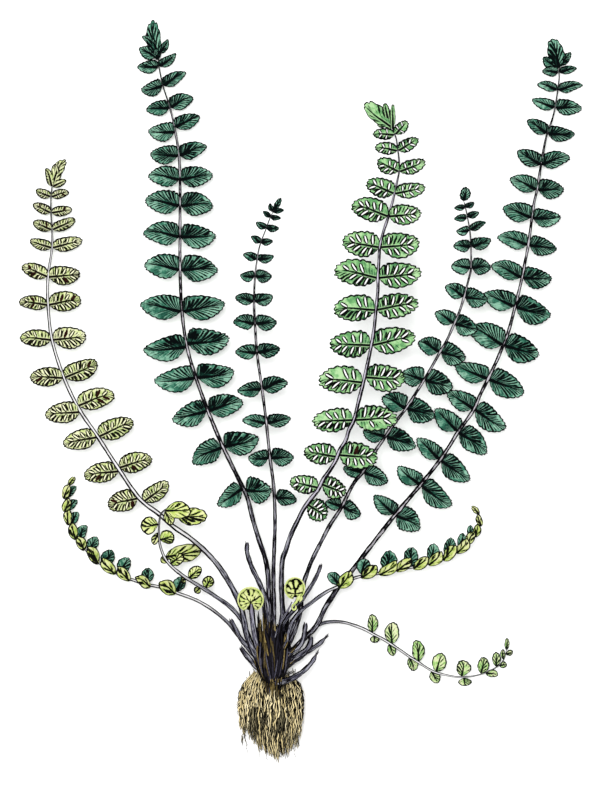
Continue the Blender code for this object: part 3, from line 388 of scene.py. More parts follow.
class Build:
    """Gathers points, faces and painted values, and makes one mesh object."""

    def __init__(self):
        self.v, self.q, self.t, self.qm, self.tm = [], [], [], [], []
        self.a = {k: [] for k in ATTRS}
        self.n = 0

    def add(self, verts, quads=None, tris=None, mat=0, **values):
        count = len(verts)
        self.v.append(np.asarray(verts, float))
        if quads is not None and len(quads):
            self.q.append(np.asarray(quads, int) + self.n)
            self.qm.append(np.broadcast_to(np.asarray(mat), (len(quads),)).copy())
        if tris is not None and len(tris):
            self.t.append(np.asarray(tris, int) + self.n)
            self.tm.append(np.full(len(tris), int(np.ravel(mat)[0])))
        for k in ATTRS:
            self.a[k].append(np.broadcast_to(np.asarray(values.get(k, 0.0), float), (count,)).copy())
        self.n += count

    def make(self, name, mats, floor=0.00004):
        v = np.concatenate(self.v)
        v[:, 2] = np.maximum(v[:, 2], floor)
        q = np.concatenate(self.q) if self.q else np.zeros((0, 4), int)
        t = np.concatenate(self.t) if self.t else np.zeros((0, 3), int)
        me = bpy.data.meshes.new(name)
        me.vertices.add(len(v))
        me.vertices.foreach_set("co", v.astype(np.float32).ravel())
        loops = np.concatenate([q.ravel(), t.ravel()]).astype(np.int32)
        me.loops.add(len(loops))
        me.loops.foreach_set("vertex_index", loops)
        starts = np.concatenate([np.arange(len(q)) * 4, len(q) * 4 + np.arange(len(t)) * 3]).astype(np.int32)
        me.polygons.add(len(starts))
        me.polygons.foreach_set("loop_start", starts)
        index = np.concatenate(self.qm + self.tm).astype(np.int32)
        me.polygons.foreach_set("material_index", index)
        me.polygons.foreach_set("use_smooth", np.ones(len(starts), bool))
        for k in ATTRS:
            at = me.attributes.new(k, "FLOAT", "POINT")
            at.data.foreach_set("value", np.concatenate(self.a[k]).astype(np.float32))
        me.update(calc_edges=True)
        me.validate()
        for m in mats:
            me.materials.append(m)
        ob = bpy.data.objects.new(name, me)
        bpy.context.scene.collection.objects.link(ob)
        LAID.append(ob.name)
        self.triangles = 2 * len(q) + len(t)
        return ob


def tube(build, points, up, wide, tall, mat, sides=8, section=None, caps=True, **values):
    """A closed rod along points. up is its upper side at each point; wide and tall are its half sizes there.
    The painted value edge runs from -1 to 1 across it, off is 1 on top and -1 below."""
    points = np.asarray(points, float)
    n = len(points)
    t = unit(np.gradient(points, axis=0))
    up = np.broadcast_to(np.asarray(up, float), (n, 3))
    up = unit(up - t * np.sum(up * t, axis=1, keepdims=True))
    left = np.cross(up, t)
    ang = 2 * np.pi * np.arange(sides) / sides
    c, s = np.cos(ang), np.sin(ang)
    lat, high = (c, s) if section is None else section(c, s)
    wide = np.broadcast_to(np.asarray(wide, float), (n,))[:, None, None]
    tall = np.broadcast_to(np.asarray(tall, float), (n,))[:, None, None]
    ring = (points[:, None, :] + left[:, None, :] * wide * np.broadcast_to(lat, (n, sides))[..., None]
            + up[:, None, :] * tall * np.broadcast_to(high, (n, sides))[..., None])
    verts = ring.reshape(-1, 3)
    i, k = np.meshgrid(np.arange(n - 1), np.arange(sides), indexing="ij")
    a, b = i * sides + k, i * sides + (k + 1) % sides
    quads = np.stack([a, b, b + sides, a + sides], -1).reshape(-1, 4)
    per = {}
    for key, val in values.items():
        val = np.asarray(val, float)
        per[key] = np.repeat(val, sides) if val.shape == (n,) else np.broadcast_to(val, (n * sides,))
    per.setdefault("edge", np.tile(c, n))
    per.setdefault("off", np.tile(s, n))
    tris = None
    if caps:
        verts = np.concatenate([verts, points[:1], points[-1:]])
        k = np.arange(sides)
        k1 = (k + 1) % sides
        first, last = n * sides, n * sides + 1
        tris = np.concatenate([np.stack([np.full(sides, first), k1, k], -1),
                               np.stack([np.full(sides, last), (n - 1) * sides + k, (n - 1) * sides + k1], -1)])
        per = {key: np.concatenate([val, val[:1], val[-1:]]) for key, val in per.items()}
        per["edge"] = per["edge"].copy()
        per["edge"][-2:] = 0.0
    build.add(verts, quads, tris, mat, **per)


def carried(points, first):
    """Upper sides carried along a curve without twist, from a first one."""
    points = np.asarray(points, float)
    t = unit(np.gradient(points, axis=0))
    u = np.array(first, float)
    out = []
    for k in range(len(points)):
        u = u - t[k] * np.dot(u, t[k])
        u = u / max(np.linalg.norm(u), 1e-12)
        out.append(u)
    return np.array(out)


# ---------------------------------------------------------------- leaflets
class Pattern:
    """The grid of a closed thin leaflet: q along the margin from foot to tip, r from midrib to margin."""

    def __init__(self, nq, nr):
        ids, rows, quads, tops = {}, [], [], []
        bend = [0.5 * j / nr + 0.25 * (1 - math.cos(math.pi * j / nr)) for j in range(nr + 1)]

        def vid(surf, side, i, j):
            if j == nr or i == 0:
                surf = 0
            if j == 0 or i == nq:
                side = 0
            key = (surf, side, i, j)
            if key not in ids:
                ids[key] = len(rows)
                rows.append((surf, side, i / nq, bend[j]))
            return ids[key]

        for surf in (1, -1):
            for side in (1, -1):
                for i in range(nq):
                    for j in range(nr):
                        f = [vid(surf, side, i, j), vid(surf, side, i + 1, j),
                             vid(surf, side, i + 1, j + 1), vid(surf, side, i, j + 1)]
                        quads.append(f if surf * side > 0 else f[::-1])
                        tops.append(surf > 0)
        self.surf, self.side, self.q, self.r = np.array(rows, float).T
        self.quads = np.array(quads)
        self.tops = np.array(tops)


PATTERNS = {"large": Pattern(48, 6), "middle": Pattern(36, 5), "small": Pattern(24, 4)}


class Leaf:
    """One leaflet's shape, in the frame of its foot, axis and upper side."""

    def __init__(self, foot, tip, width, ahead, st, rng, twist=0.0):
        foot, tip = np.asarray(foot, float), np.asarray(tip, float)
        st = dict(st)
        for key, spread in (("um", 0.14), ("pa", 0.15), ("pb", 0.13)):
            st[key] = tuple(v * rng.uniform(1 - spread, 1 + spread) for v in st[key])
        st["rise"] = st["rise"] * rng.uniform(0.85, 1.12)
        self.foot, self.st = foot, st
        self.L = float(np.linalg.norm(tip - foot))
        self.W = width
        e1 = (tip - foot) / self.L
        up = np.array([0.0, 0.0, 1.0])
        up = unit(up - e1 * e1[2])
        e2 = np.cross(up, e1)
        self.hand = 1.0 if np.dot(e2, ahead) >= 0 else -1.0
        e2 = e2 * self.hand
        c, s = math.cos(twist), math.sin(twist)
        self.e1, self.e2, self.up = e1, e2 * c + up * s, up * c - e2 * s
        self.jit = rng.uniform(0, 6.28, 5)
        self.rnd = float(rng.uniform())
        self.arch = st["arch"] * rng.uniform(0.6, 1.3)
        self.cup = st["cup"] + rng.uniform(-0.06, 0.08)
        self.size_cut = st["cut"] * rng.uniform(0.8, 1.2)
        self.bow = st["bow"] * rng.uniform(-1.1, 1.5) * self.L

    def sheet(self, q, r, side):
        st, L = self.st, self.L
        acro = np.asarray(side) >= 0
        sign = np.where(acro, 1.0, -1.0)
        u = 0.5 - 0.5 * np.cos(np.pi * q)
        um = np.where(acro, st["um"][0], st["um"][1])
        pa = np.where(acro, st["pa"][0], st["pa"][1])
        pb = np.where(acro, st["pb"][0], st["pb"][1])
        w = np.where(u < um, np.sin(0.5 * np.pi * np.clip(u / um, 0, 1)) ** pa,
                     np.clip(np.cos(0.5 * np.pi * np.clip((u - um) / (1 - um), 0, 1)), 0, 1) ** pb)
        half = 0.5 * self.W * np.where(acro, st["full"], 2 - st["full"])
        y = np.hypot(w * half, 0.00013 * (1 - u) ** 8)
        y = np.where(q >= 1.0, 0.0, y)
        v = st["teeth"] * (1 - q) + 0.16 * np.sin(np.pi * q) * np.sin(4 * q + self.jit[0] + 2 * sign)
        size = self.size_cut * ease(q, 0.05, 0.28) * (1 + 0.5 * np.sin(3.7 * v + self.jit[1] + 3 * sign))
        k = 1 + size * (np.abs(np.cos(np.pi * v)) ** 0.75 - 0.6)
        cx = 0.42
        ox, oy = (cx + (u - cx) * k) * L, y * k
        m = st["foot"] * q ** st["rise"] * L
        dx = ox - m
        cxx, cyy = m + 0.62 * dx, 0.42 * oy
        x = (1 - r) ** 2 * m + 2 * r * (1 - r) * cxx + r * r * ox
        yy = 2 * r * (1 - r) * cyy + r * r * oy
        xn, yn = np.clip(x / L, 0, 1), yy / (0.5 * self.W)
        h = self.arch * L * np.sin(np.pi * xn ** 0.85)
        h = h - self.cup * 0.5 * self.W * yn ** 2
        h = h + st["quilt"] * np.abs(np.sin(np.pi * v)) * 4 * r * (1 - r) * ease(q, 0.0, 0.15)
        h = h + 0.045 * 0.5 * self.W * np.sin(2 * np.pi * 1.7 * q + self.jit[2]) * r * r * sign * ease(1 - q, 0, 0.2)
        h = h - 0.00007 * np.exp(-(yy / 0.00016) ** 2) * (1 - xn)
        rim = (1 - r) * np.hypot(ox - m, oy) / PX
        side_way = yy * sign + self.bow * (np.sin(np.pi * xn) - 0.25 * np.sin(2 * np.pi * xn))
        return x, side_way, h, v, rim, xn, yy

    def solid(self, q, r, side, surf):
        q, r, side, surf = np.broadcast_arrays(*(np.asarray(k, float) for k in (q, r, side, surf)))
        x, y, h, v, rim, xn, out = self.sheet(q, r, side)
        thick = 0.5 * self.st["thick"] * np.sqrt(np.clip(1 - r ** 4, 0, 1)) * (1 - 0.4 * xn)
        thick = thick * np.clip(q / 0.05, 0, 1) ** 0.5
        thick = thick + np.where(surf < 0, 0.00009 * np.exp(-(out / 0.00020) ** 2) * (1 - xn) * np.clip(q * 12, 0, 1),
                                 0)
        h = h + surf * thick
        p = (self.foot + x[..., None] * self.e1 + y[..., None] * self.e2 + h[..., None] * self.up)
        return p, v, rim, np.abs(out) / PX, xn

    def put(self, build, size, top, bottom, dark_side, dark, other, tone=0.0):
        g = PATTERNS[size]
        p, v, rim, off, xn = self.solid(g.q, g.r, g.side, g.surf)
        quads = g.quads if self.hand > 0 else g.quads[:, ::-1]
        shade = np.where(g.side == dark_side, dark, np.where(g.side == 0, 0.5 * (dark + other), other))
        build.add(p, quads, mat=np.where(g.tops, top, bottom), vein=v, edge=g.r, rim=rim, off=off, run=xn,
                  dark=shade, seed=self.rnd, tone=tone)


def sorus(build, leaf, q0, side, span, wide, tall, mat, cover, cover_wide, cover_tall, rng):
    """A ridge of spore cases along a vein, and the flap that covers most of it."""
    t = np.linspace(0, 1, 9)
    r = span[0] + (span[1] - span[0]) * t
    p = leaf.solid(q0, r, side, 1)[0]
    a = leaf.solid(q0 + 0.02, r, side, 1)[0] - leaf.solid(q0 - 0.02, r, side, 1)[0]
    way = unit(np.gradient(p, axis=0))
    up = unit(np.cross(way, a))
    up = up * np.sign(up @ leaf.up)[:, None]
    swell = np.clip(np.sin(np.pi * (0.03 + 0.94 * t)), 0, 1) ** 0.42
    bump = 1 + 0.12 * np.sin(17 * t + rng.uniform(0, 6))
    tube(build, p + up * 0.00005, up, wide * swell * bump, tall * swell, mat, sides=8,
         section=lambda c, s: (c, np.where(s > 0, s ** 0.6, 0.7 * s)), seed=rng.uniform(), run=t)
    if cover is not None:
        inner = np.linspace(0.06, 0.94, 9)
        pc = np.stack([np.interp(inner, t, (p + up * 0.00009)[:, k]) for k in range(3)], -1)
        tube(build, pc, up, cover_wide * swell, cover_tall * swell, cover, sides=8,
             section=lambda c, s: (c, np.where(s > 0, s, 0.2 * s)), seed=rng.uniform(), run=t)


# ---------------------------------------------------------------- painted surfaces
LIT = 0.59                      # the light is over full, so that the floor is white


def tint(r, g, b):
    """Linear colour of an sRGB one, each 0 to 255, as it looks under the light."""
    return tuple(LIT * ((c / 255 / 12.92) if c <= 10.3 else ((c / 255 + 0.055) / 1.055) ** 2.4)
                 for c in (r, g, b)) + (1.0,)


class Paint:
    """A material and a few short names for its nodes."""

    def __init__(self, name, rough=0.55, gloss=0.2):
        self.m = bpy.data.materials.new(name)
        self.m.use_nodes = True
        self.t = self.m.node_tree
        self.out = self.t.nodes["Principled BSDF"]
        self.out.inputs["Roughness"].default_value = rough
        self.out.inputs["Specular IOR Level"].default_value = gloss
        self.known = {}

    def put(self, socket, value):
        if isinstance(value, bpy.types.NodeSocket):
            self.t.links.new(value, socket)
        else:
            socket.default_value = value

    def value(self, name):
        if name not in self.known:
            n = self.t.nodes.new("ShaderNodeAttribute")
            n.attribute_name = name
            self.known[name] = n.outputs["Fac"]
        return self.known[name]

    def do(self, op, a, b=0.0, c=0.0, clamp=False):
        n = self.t.nodes.new("ShaderNodeMath")
        n.operation = op
        n.use_clamp = clamp
        for socket, val in zip(n.inputs, (a, b, c)):
            self.put(socket, val)
        return n.outputs[0]

    def add(self, a, b, clamp=False):
        return self.do("ADD", a, b, clamp=clamp)

    def sub(self, a, b, clamp=False):
        return self.do("SUBTRACT", a, b, clamp=clamp)

    def mul(self, a, b, clamp=False):
        return self.do("MULTIPLY", a, b, clamp=clamp)

    def top(self, *parts):
        out = parts[0]
        for p in parts[1:]:
            out = self.do("MAXIMUM", out, p)
        return out

    def ease(self, x, lo, hi, a=0.0, b=1.0):
        n = self.t.nodes.new("ShaderNodeMapRange")
        n.interpolation_type = "SMOOTHSTEP"
        for key, val in (("Value", x), ("From Min", lo), ("From Max", hi), ("To Min", a), ("To Max", b)):
            self.put(n.inputs[key], val)
        return n.outputs[0]

    def place(self):
        if "place" not in self.known:
            self.known["place"] = self.t.nodes.new("ShaderNodeTexCoord").outputs["Object"]
        return self.known["place"]

    def vec(self, x=0.0, y=0.0, z=0.0):
        n = self.t.nodes.new("ShaderNodeCombineXYZ")
        for socket, val in zip(n.inputs, (x, y, z)):
            self.put(socket, val)
        return n.outputs[0]

    def chance(self, at):
        """Three random numbers that hold over each whole value of at."""
        n = self.t.nodes.new("ShaderNodeTexWhiteNoise")
        n.noise_dimensions = "3D"
        self.t.links.new(at, n.inputs["Vector"])
        parts = self.t.nodes.new("ShaderNodeSeparateColor")
        self.t.links.new(n.outputs["Color"], parts.inputs[0])
        return parts.outputs[0], parts.outputs[1], parts.outputs[2]

    def noise(self, scale, detail=2.0, at=None, rough=0.5):
        n = self.t.nodes.new("ShaderNodeTexNoise")
        n.inputs["Scale"].default_value = scale
        n.inputs["Detail"].default_value = detail
        n.inputs["Roughness"].default_value = rough
        self.t.links.new(at or self.place(), n.inputs["Vector"])
        return n.outputs["Fac"]

    def mix(self, f, a, b):
        n = self.t.nodes.new("ShaderNodeMix")
        n.data_type = "RGBA"
        self.put(n.inputs[0], f)
        self.put(n.inputs[6], a)
        self.put(n.inputs[7], b)
        return n.outputs[2]

    def ramp(self, x, stops):
        n = self.t.nodes.new("ShaderNodeValToRGB")
        el = n.color_ramp.elements
        while len(el) < len(stops):
            el.new(0.5)
        for e, (at, colour) in zip(el, stops):
            e.position = at
            e.color = colour
        self.put(n.inputs[0], x)
        return n.outputs[0]

    def bump(self, height, strength=0.3, deep=0.0001):
        n = self.t.nodes.new("ShaderNodeBump")
        n.inputs["Strength"].default_value = strength
        n.inputs["Distance"].default_value = deep
        self.put(n.inputs["Height"], height)
        self.t.links.new(n.outputs[0], self.out.inputs["Normal"])

    def finish(self, colour):
        self.put(self.out.inputs["Base Color"], colour)
        return self.m


def leaf_paint(name, light, mid, dark, ink, wash=0.30, heavy=0.36, lines=1.45, thin=0.12, bold=0.37, faint=0.75,
               margin=1.0, rib=1.0, rib_pale=None, rough=0.8, gloss=0.03, patch=0.55, hem=1.35, between=0.75,
               rib_wide=1.5, slope=0.36):
    """A leaflet: a mottled wash with painted shade darker on one half, with dark veins, midrib and margin."""
    p = Paint(name, rough, gloss)
    v, r, rim, off = p.value("vein"), p.value("edge"), p.value("rim"), p.value("off")
    x, dk, seed, tone = p.value("run"), p.value("dark"), p.value("seed"), p.value("tone")
    blot = p.noise(620, 3)
    grain = p.noise(3600, 2)
    streak = p.noise(1.0, 2, at=p.vec(p.mul(v, 2.6), p.mul(r, 1.6), p.mul(seed, 40)))
    # painted shade: the shaded half, set by the dark value, is darker, most of all towards the midrib
    deep = p.add(p.mul(dk, p.ease(r, 1.05, 0.2, heavy * 0.45, heavy)), wash)
    deep = p.add(deep, p.mul(p.sub(p.ease(blot, 0.36, 0.62), 0.5), patch))
    deep = p.add(deep, p.mul(p.sub(streak, 0.5), 0.45))
    deep = p.add(deep, p.ease(x, 0.50, 0.0, 0.0, slope))
    deep = p.sub(deep, p.ease(x, 0.50, 0.95, 0.0, slope * 0.9))
    deep = p.add(deep, p.mul(tone, 0.4))
    deep = p.add(deep, p.mul(p.sub(seed, 0.5), 0.30))
    deep = p.add(deep, p.mul(p.sub(grain, 0.5), 0.55), clamp=True)
    wash_shade_and_highlight = p.ramp(deep, ((0.0, light), (0.40, mid), (0.90, dark)))
    # veins: dark strokes along the vein lines, thicker on the shaded half, breaking up where the noise is low
    count = p.add(p.mul(v, lines), p.mul(p.sub(grain, 0.5), 0.40))
    beat = p.do("ABSOLUTE", p.sub(p.do("FRACT", count), 0.5))
    weight, start, stop = p.chance(p.vec(p.do("FLOOR", count), p.do("FLOOR", p.mul(seed, 997.0)),
                                         p.do("FLOOR", p.mul(dk, 3.0))))
    full = p.add(p.mul(dk, bold - thin), thin)
    full = p.mul(full, p.ease(streak, 0.30, 0.68, 0.65, 1.35))
    full = p.mul(full, p.add(p.mul(weight, 0.75), 0.62))
    full = p.mul(full, p.ease(r, 0.35, 1.0, 1.0, 0.72))
    stroke = p.ease(p.sub(beat, full), 0.05, -0.03)
    gap = p.sub(streak, p.ease(dk, 0.0, 0.80, 0.58, 0.26))
    seen = p.mul(p.ease(gap, 0.0, 0.06), p.ease(dk, 0.0, 0.16))
    seen = p.mul(seen, p.ease(p.sub(r, p.mul(start, 0.40)), -0.06, 0.02))
    seen = p.mul(seen, p.ease(p.sub(r, p.add(p.mul(stop, 0.45), 0.68)), 0.04, -0.04))
    foot_side = p.mul(p.ease(x, 0.40, 0.20), p.ease(streak, 0.38, 0.46, 0.0, faint))
    shown = p.top(seen, foot_side)
    stroke = p.mul(stroke, shown)
    # painted highlight: light colour between the strokes wherever they are shown, mostly on the shaded half
    ridge = p.mul(p.mul(p.ease(p.sub(beat, full), 0.04, 0.16), shown), between)
    wash_shade_and_highlight = p.mix(ridge, wash_shade_and_highlight, light)
    # midrib, strongest at the foot
    reach = p.add(p.ease(x, 0.0, 0.9, rib_wide, 0.50), p.mul(p.sub(grain, 0.5), 0.8))
    mid_line = p.mul(p.ease(p.sub(off, reach), 0.20, -0.20), p.ease(x, 0.93, 0.74, 0.0, rib))
    # margin
    wide = p.add(hem, p.mul(p.sub(grain, 0.48), 1.7))
    border = p.mul(p.ease(p.sub(rim, wide), 0.30, -0.10), margin)
    total = p.top(stroke, mid_line, border)
    colour = p.mix(total, wash_shade_and_highlight, ink)
    if rib_pale is not None:
        beside = p.mul(p.ease(off, 2.3, 1.4), p.ease(off, 0.9, 1.5))
        colour = p.mix(p.mul(p.mul(beside, p.ease(x, 0.95, 0.75)), 0.7), colour, rib_pale)
    p.bump(p.sub(p.mul(grain, 0.4), total), 0.22, 0.00008)
    return p.finish(colour)


def stalk_paint(name, core, slate, ink, show=0.42, rough=0.8, gloss=0.03, shine=tint(206, 206, 216), shift=0.1,
                spoilt=0.35, vary=0.45):
    """A channelled stalk: a pale middle between dark ridges, painted as a highlight on the upper side and set
    off-centre so one edge is left darker as painted shade; slate and streaked near the crown.
    """
    p = Paint(name, rough, gloss)
    lat, high, run, dk = p.value("edge"), p.value("off"), p.value("run"), p.value("dark")
    seed, tone = p.value("seed"), p.value("tone")
    long = p.noise(1.0, 3, at=p.vec(p.mul(lat, 4.5), p.mul(run, 0.045), p.mul(seed, 30)))
    fine = p.noise(1.0, 2, at=p.vec(p.mul(lat, 5.5), p.mul(run, 0.09), p.mul(seed, 30)))
    # noise that varies how far the painted highlight reaches across the stalk
    uneven = p.noise(1.0, 3, at=p.vec(p.mul(lat, 0.6), p.mul(run, 0.12), p.mul(seed, 50)))
    grain = p.noise(3600, 2)
    middle = p.do("ABSOLUTE", p.sub(lat, shift))    # the left side of the stalk is +1
    reach = p.add(show, p.mul(p.sub(uneven, 0.5), vary))
    reach = p.add(reach, p.ease(dk, 0.2, 1.0, 0.0, 0.22))
    # painted highlight: the pale middle shows only on the upper side, off-centre, so the edge on the other side is
    # darker as painted shade
    band = p.mul(p.ease(p.sub(middle, reach), 0.10, -0.06), p.ease(high, 0.0, 0.22))
    body = p.mix(p.ease(dk, 0.0, 1.0), core, slate)
    body = p.mix(p.mul(p.ease(long, 0.50, 0.57), p.ease(dk, 0.0, 0.8, spoilt, 0.95)), body, ink)
    body = p.mix(p.mul(p.ease(fine, 0.52, 0.58), p.ease(dk, 0.0, 1.0, spoilt * 0.8, 1.0)), body, ink)
    body = p.mix(p.mul(tone, 0.85), body, ink)
    # painted highlight: pale streaks in the shine colour, strongest near the crown
    bright = p.mul(p.ease(fine, 0.46, 0.40), p.ease(dk, 0.1, 0.6))
    body = p.mix(p.mul(bright, 0.85), body, shine)
    side = p.mix(p.ease(fine, 0.56, 0.75, 0.0, 0.30), ink, slate)
    colour = p.mix(band, side, body)
    colour = p.mix(p.mul(p.sub(grain, 0.40, clamp=True), 0.5), colour, ink)
    p.bump(p.add(fine, p.mul(grain, 0.5)), 0.3, 0.00008)
    return p.finish(colour)


TEAL = leaf_paint("teal_leaflet", tint(154, 206, 180), tint(64, 128, 104), tint(22, 68, 56), tint(2, 8, 9),
                  bold=0.43, hem=1.55, rib_wide=1.8)
TEAL_UNDER = leaf_paint("teal_leaflet_underside", tint(170, 205, 165), tint(125, 170, 125), tint(80, 130, 90),
                        tint(40, 60, 40), heavy=0.15, lines=1.0, margin=0.4, rough=0.65)
FERN = leaf_paint("fertile_leaflet", tint(190, 232, 172), tint(132, 194, 124), tint(52, 122, 76), tint(6, 14, 10),
                  wash=0.26, heavy=0.40, lines=1.45, thin=0.11, bold=0.38, faint=0.6, rib_pale=tint(196, 238, 178),
                  hem=1.50, between=0.45, rib_wide=1.3, slope=0.22)
FERN_UNDER = leaf_paint("fertile_leaflet_upper_side", tint(96, 160, 112), tint(58, 122, 78), tint(34, 88, 58),
                        tint(16, 40, 28), lines=1.0)
PALE = leaf_paint("pale_leaflet", tint(250, 252, 206), tint(222, 236, 154), tint(158, 188, 98), tint(20, 18, 10),
                  wash=0.24, heavy=0.36, lines=1.45, thin=0.14, bold=0.40, faint=0.85, rib_pale=tint(246, 250, 200),
                  hem=1.40, rib_wide=1.3, slope=0.16)
PALE_UNDER = leaf_paint("pale_leaflet_upper_side", tint(205, 222, 130), tint(176, 204, 100), tint(128, 164, 72),
                        tint(70, 84, 34), lines=1.0)
LIGHT = leaf_paint("light_leaflet", tint(240, 248, 196), tint(178, 222, 132), tint(112, 178, 92), tint(16, 26, 16),
                   wash=0.26, heavy=0.30, lines=1.3, thin=0.12, bold=0.30, faint=0.45, hem=1.40, rib_wide=1.2,
                   slope=0.16)
LIGHT_UNDER = leaf_paint("light_leaflet_underside", tint(190, 220, 140), tint(160, 200, 112), tint(118, 166, 84),
                         tint(60, 90, 44), lines=1.0)
YOUNG = leaf_paint("young_leaflet", tint(246, 250, 184), tint(216, 234, 124), tint(150, 190, 76), tint(12, 14, 8),
                   wash=0.24, heavy=0.36, lines=1.2, thin=0.14, bold=0.36, faint=0.55, hem=1.50, rib_wide=1.2,
                   slope=0.20)
YOUNG_UNDER = leaf_paint("young_leaflet_underside", tint(220, 232, 130), tint(190, 214, 92), tint(140, 176, 66),
                         tint(70, 84, 30), lines=1.0)
# each stalk paint carries a pale painted highlight along the top of its channel
STALK_PALE = stalk_paint("stalk_pale_channel_highlight", (0.66, 0.65, 0.66, 1.0), tint(100, 100, 120), tint(6, 4, 7), show=0.28,
                         shift=-0.08, spoilt=0.2)
STALK_DARK = stalk_paint("stalk_dark_channel_highlight", tint(228, 222, 230), tint(84, 80, 96), tint(6, 4, 7), show=0.13,
                         shift=-0.05, spoilt=0.45, vary=1.7)
STALK_LILAC = stalk_paint("stalk_lilac_channel_highlight", tint(226, 220, 236), tint(90, 88, 108), tint(6, 4, 7),
                          show=0.22, shift=0.18, spoilt=0.4, vary=1.1)
STALK_SLATE = stalk_paint("stalk_slate", tint(170, 164, 184), tint(110, 108, 130), tint(6, 4, 7), show=0.4)


def spore_paint(name, a, b):
    p = Paint(name, 0.9, 0.02)
    grain = p.noise(5200, 3)
    p.bump(grain, 0.8, 0.00012)
    return p.finish(p.mix(p.ease(grain, 0.35, 0.7), a, b))


def flap_paint(name, pale, edge):
    p = Paint(name, 0.8, 0.03)
    lat, run = p.value("edge"), p.value("run")
    grain = p.noise(4200, 2)
    uneven = p.ease(p.do("ABSOLUTE", lat), 0.80, 1.0)
    uneven = p.top(uneven, p.mul(p.ease(grain, 0.62, 0.72), 0.25))
    p.bump(grain, 0.3, 0.00006)
    return p.finish(p.mix(uneven, pale, edge))


SPORES = spore_paint("spore_cases", tint(4, 6, 4), tint(24, 22, 14))
SPORES_BROWN = spore_paint("spore_cases_brown", tint(14, 8, 6), tint(70, 36, 26))
FLAP = flap_paint("sorus_flap_white", (0.74, 0.74, 0.73, 1.0), tint(60, 60, 50))
FLAP_PALE = flap_paint("sorus_flap_pale", (0.72, 0.72, 0.48, 1.0), tint(70, 66, 40))


# ---------------------------------------------------------------- fronds
PLAIN = dict(teeth=10, cut=0.08, um=(0.17, 0.42), pa=(0.30, 0.84), pb=(0.66, 0.58), full=1.05, foot=0.78, rise=2.6,
             arch=0.035, cup=0.16, quilt=0.00005, thick=0.00026, bow=0.05)
SCALLOP = dict(PLAIN, teeth=9, cut=0.11, um=(0.30, 0.46), pa=(0.28, 0.62), pb=(0.46, 0.44), full=1.03, foot=0.88,
               rise=1.4, bow=0.03)
BLUNT = dict(PLAIN, teeth=6, cut=0.07, um=(0.50, 0.52), pa=(0.62, 0.66), pb=(0.50, 0.50), foot=0.7)
FOLDED = dict(PLAIN, teeth=4, cut=0.03, um=(0.46, 0.50), pa=(0.55, 0.6), pb=(0.6, 0.6), cup=0.30, foot=0.8)
TIP = dict(PLAIN, teeth=6, cut=0.10, um=(0.50, 0.54), pa=(0.5, 0.55), pb=(0.42, 0.42), full=1.0)


def channel(c, s):
    """Section of a stalk: flat oval with a shallow channel along its upper side."""
    return np.sign(c) * np.abs(c) ** 0.85, np.where(s > 0, np.abs(s) ** 0.75 - 0.34 * np.exp(-(c / 0.36) ** 2), s)


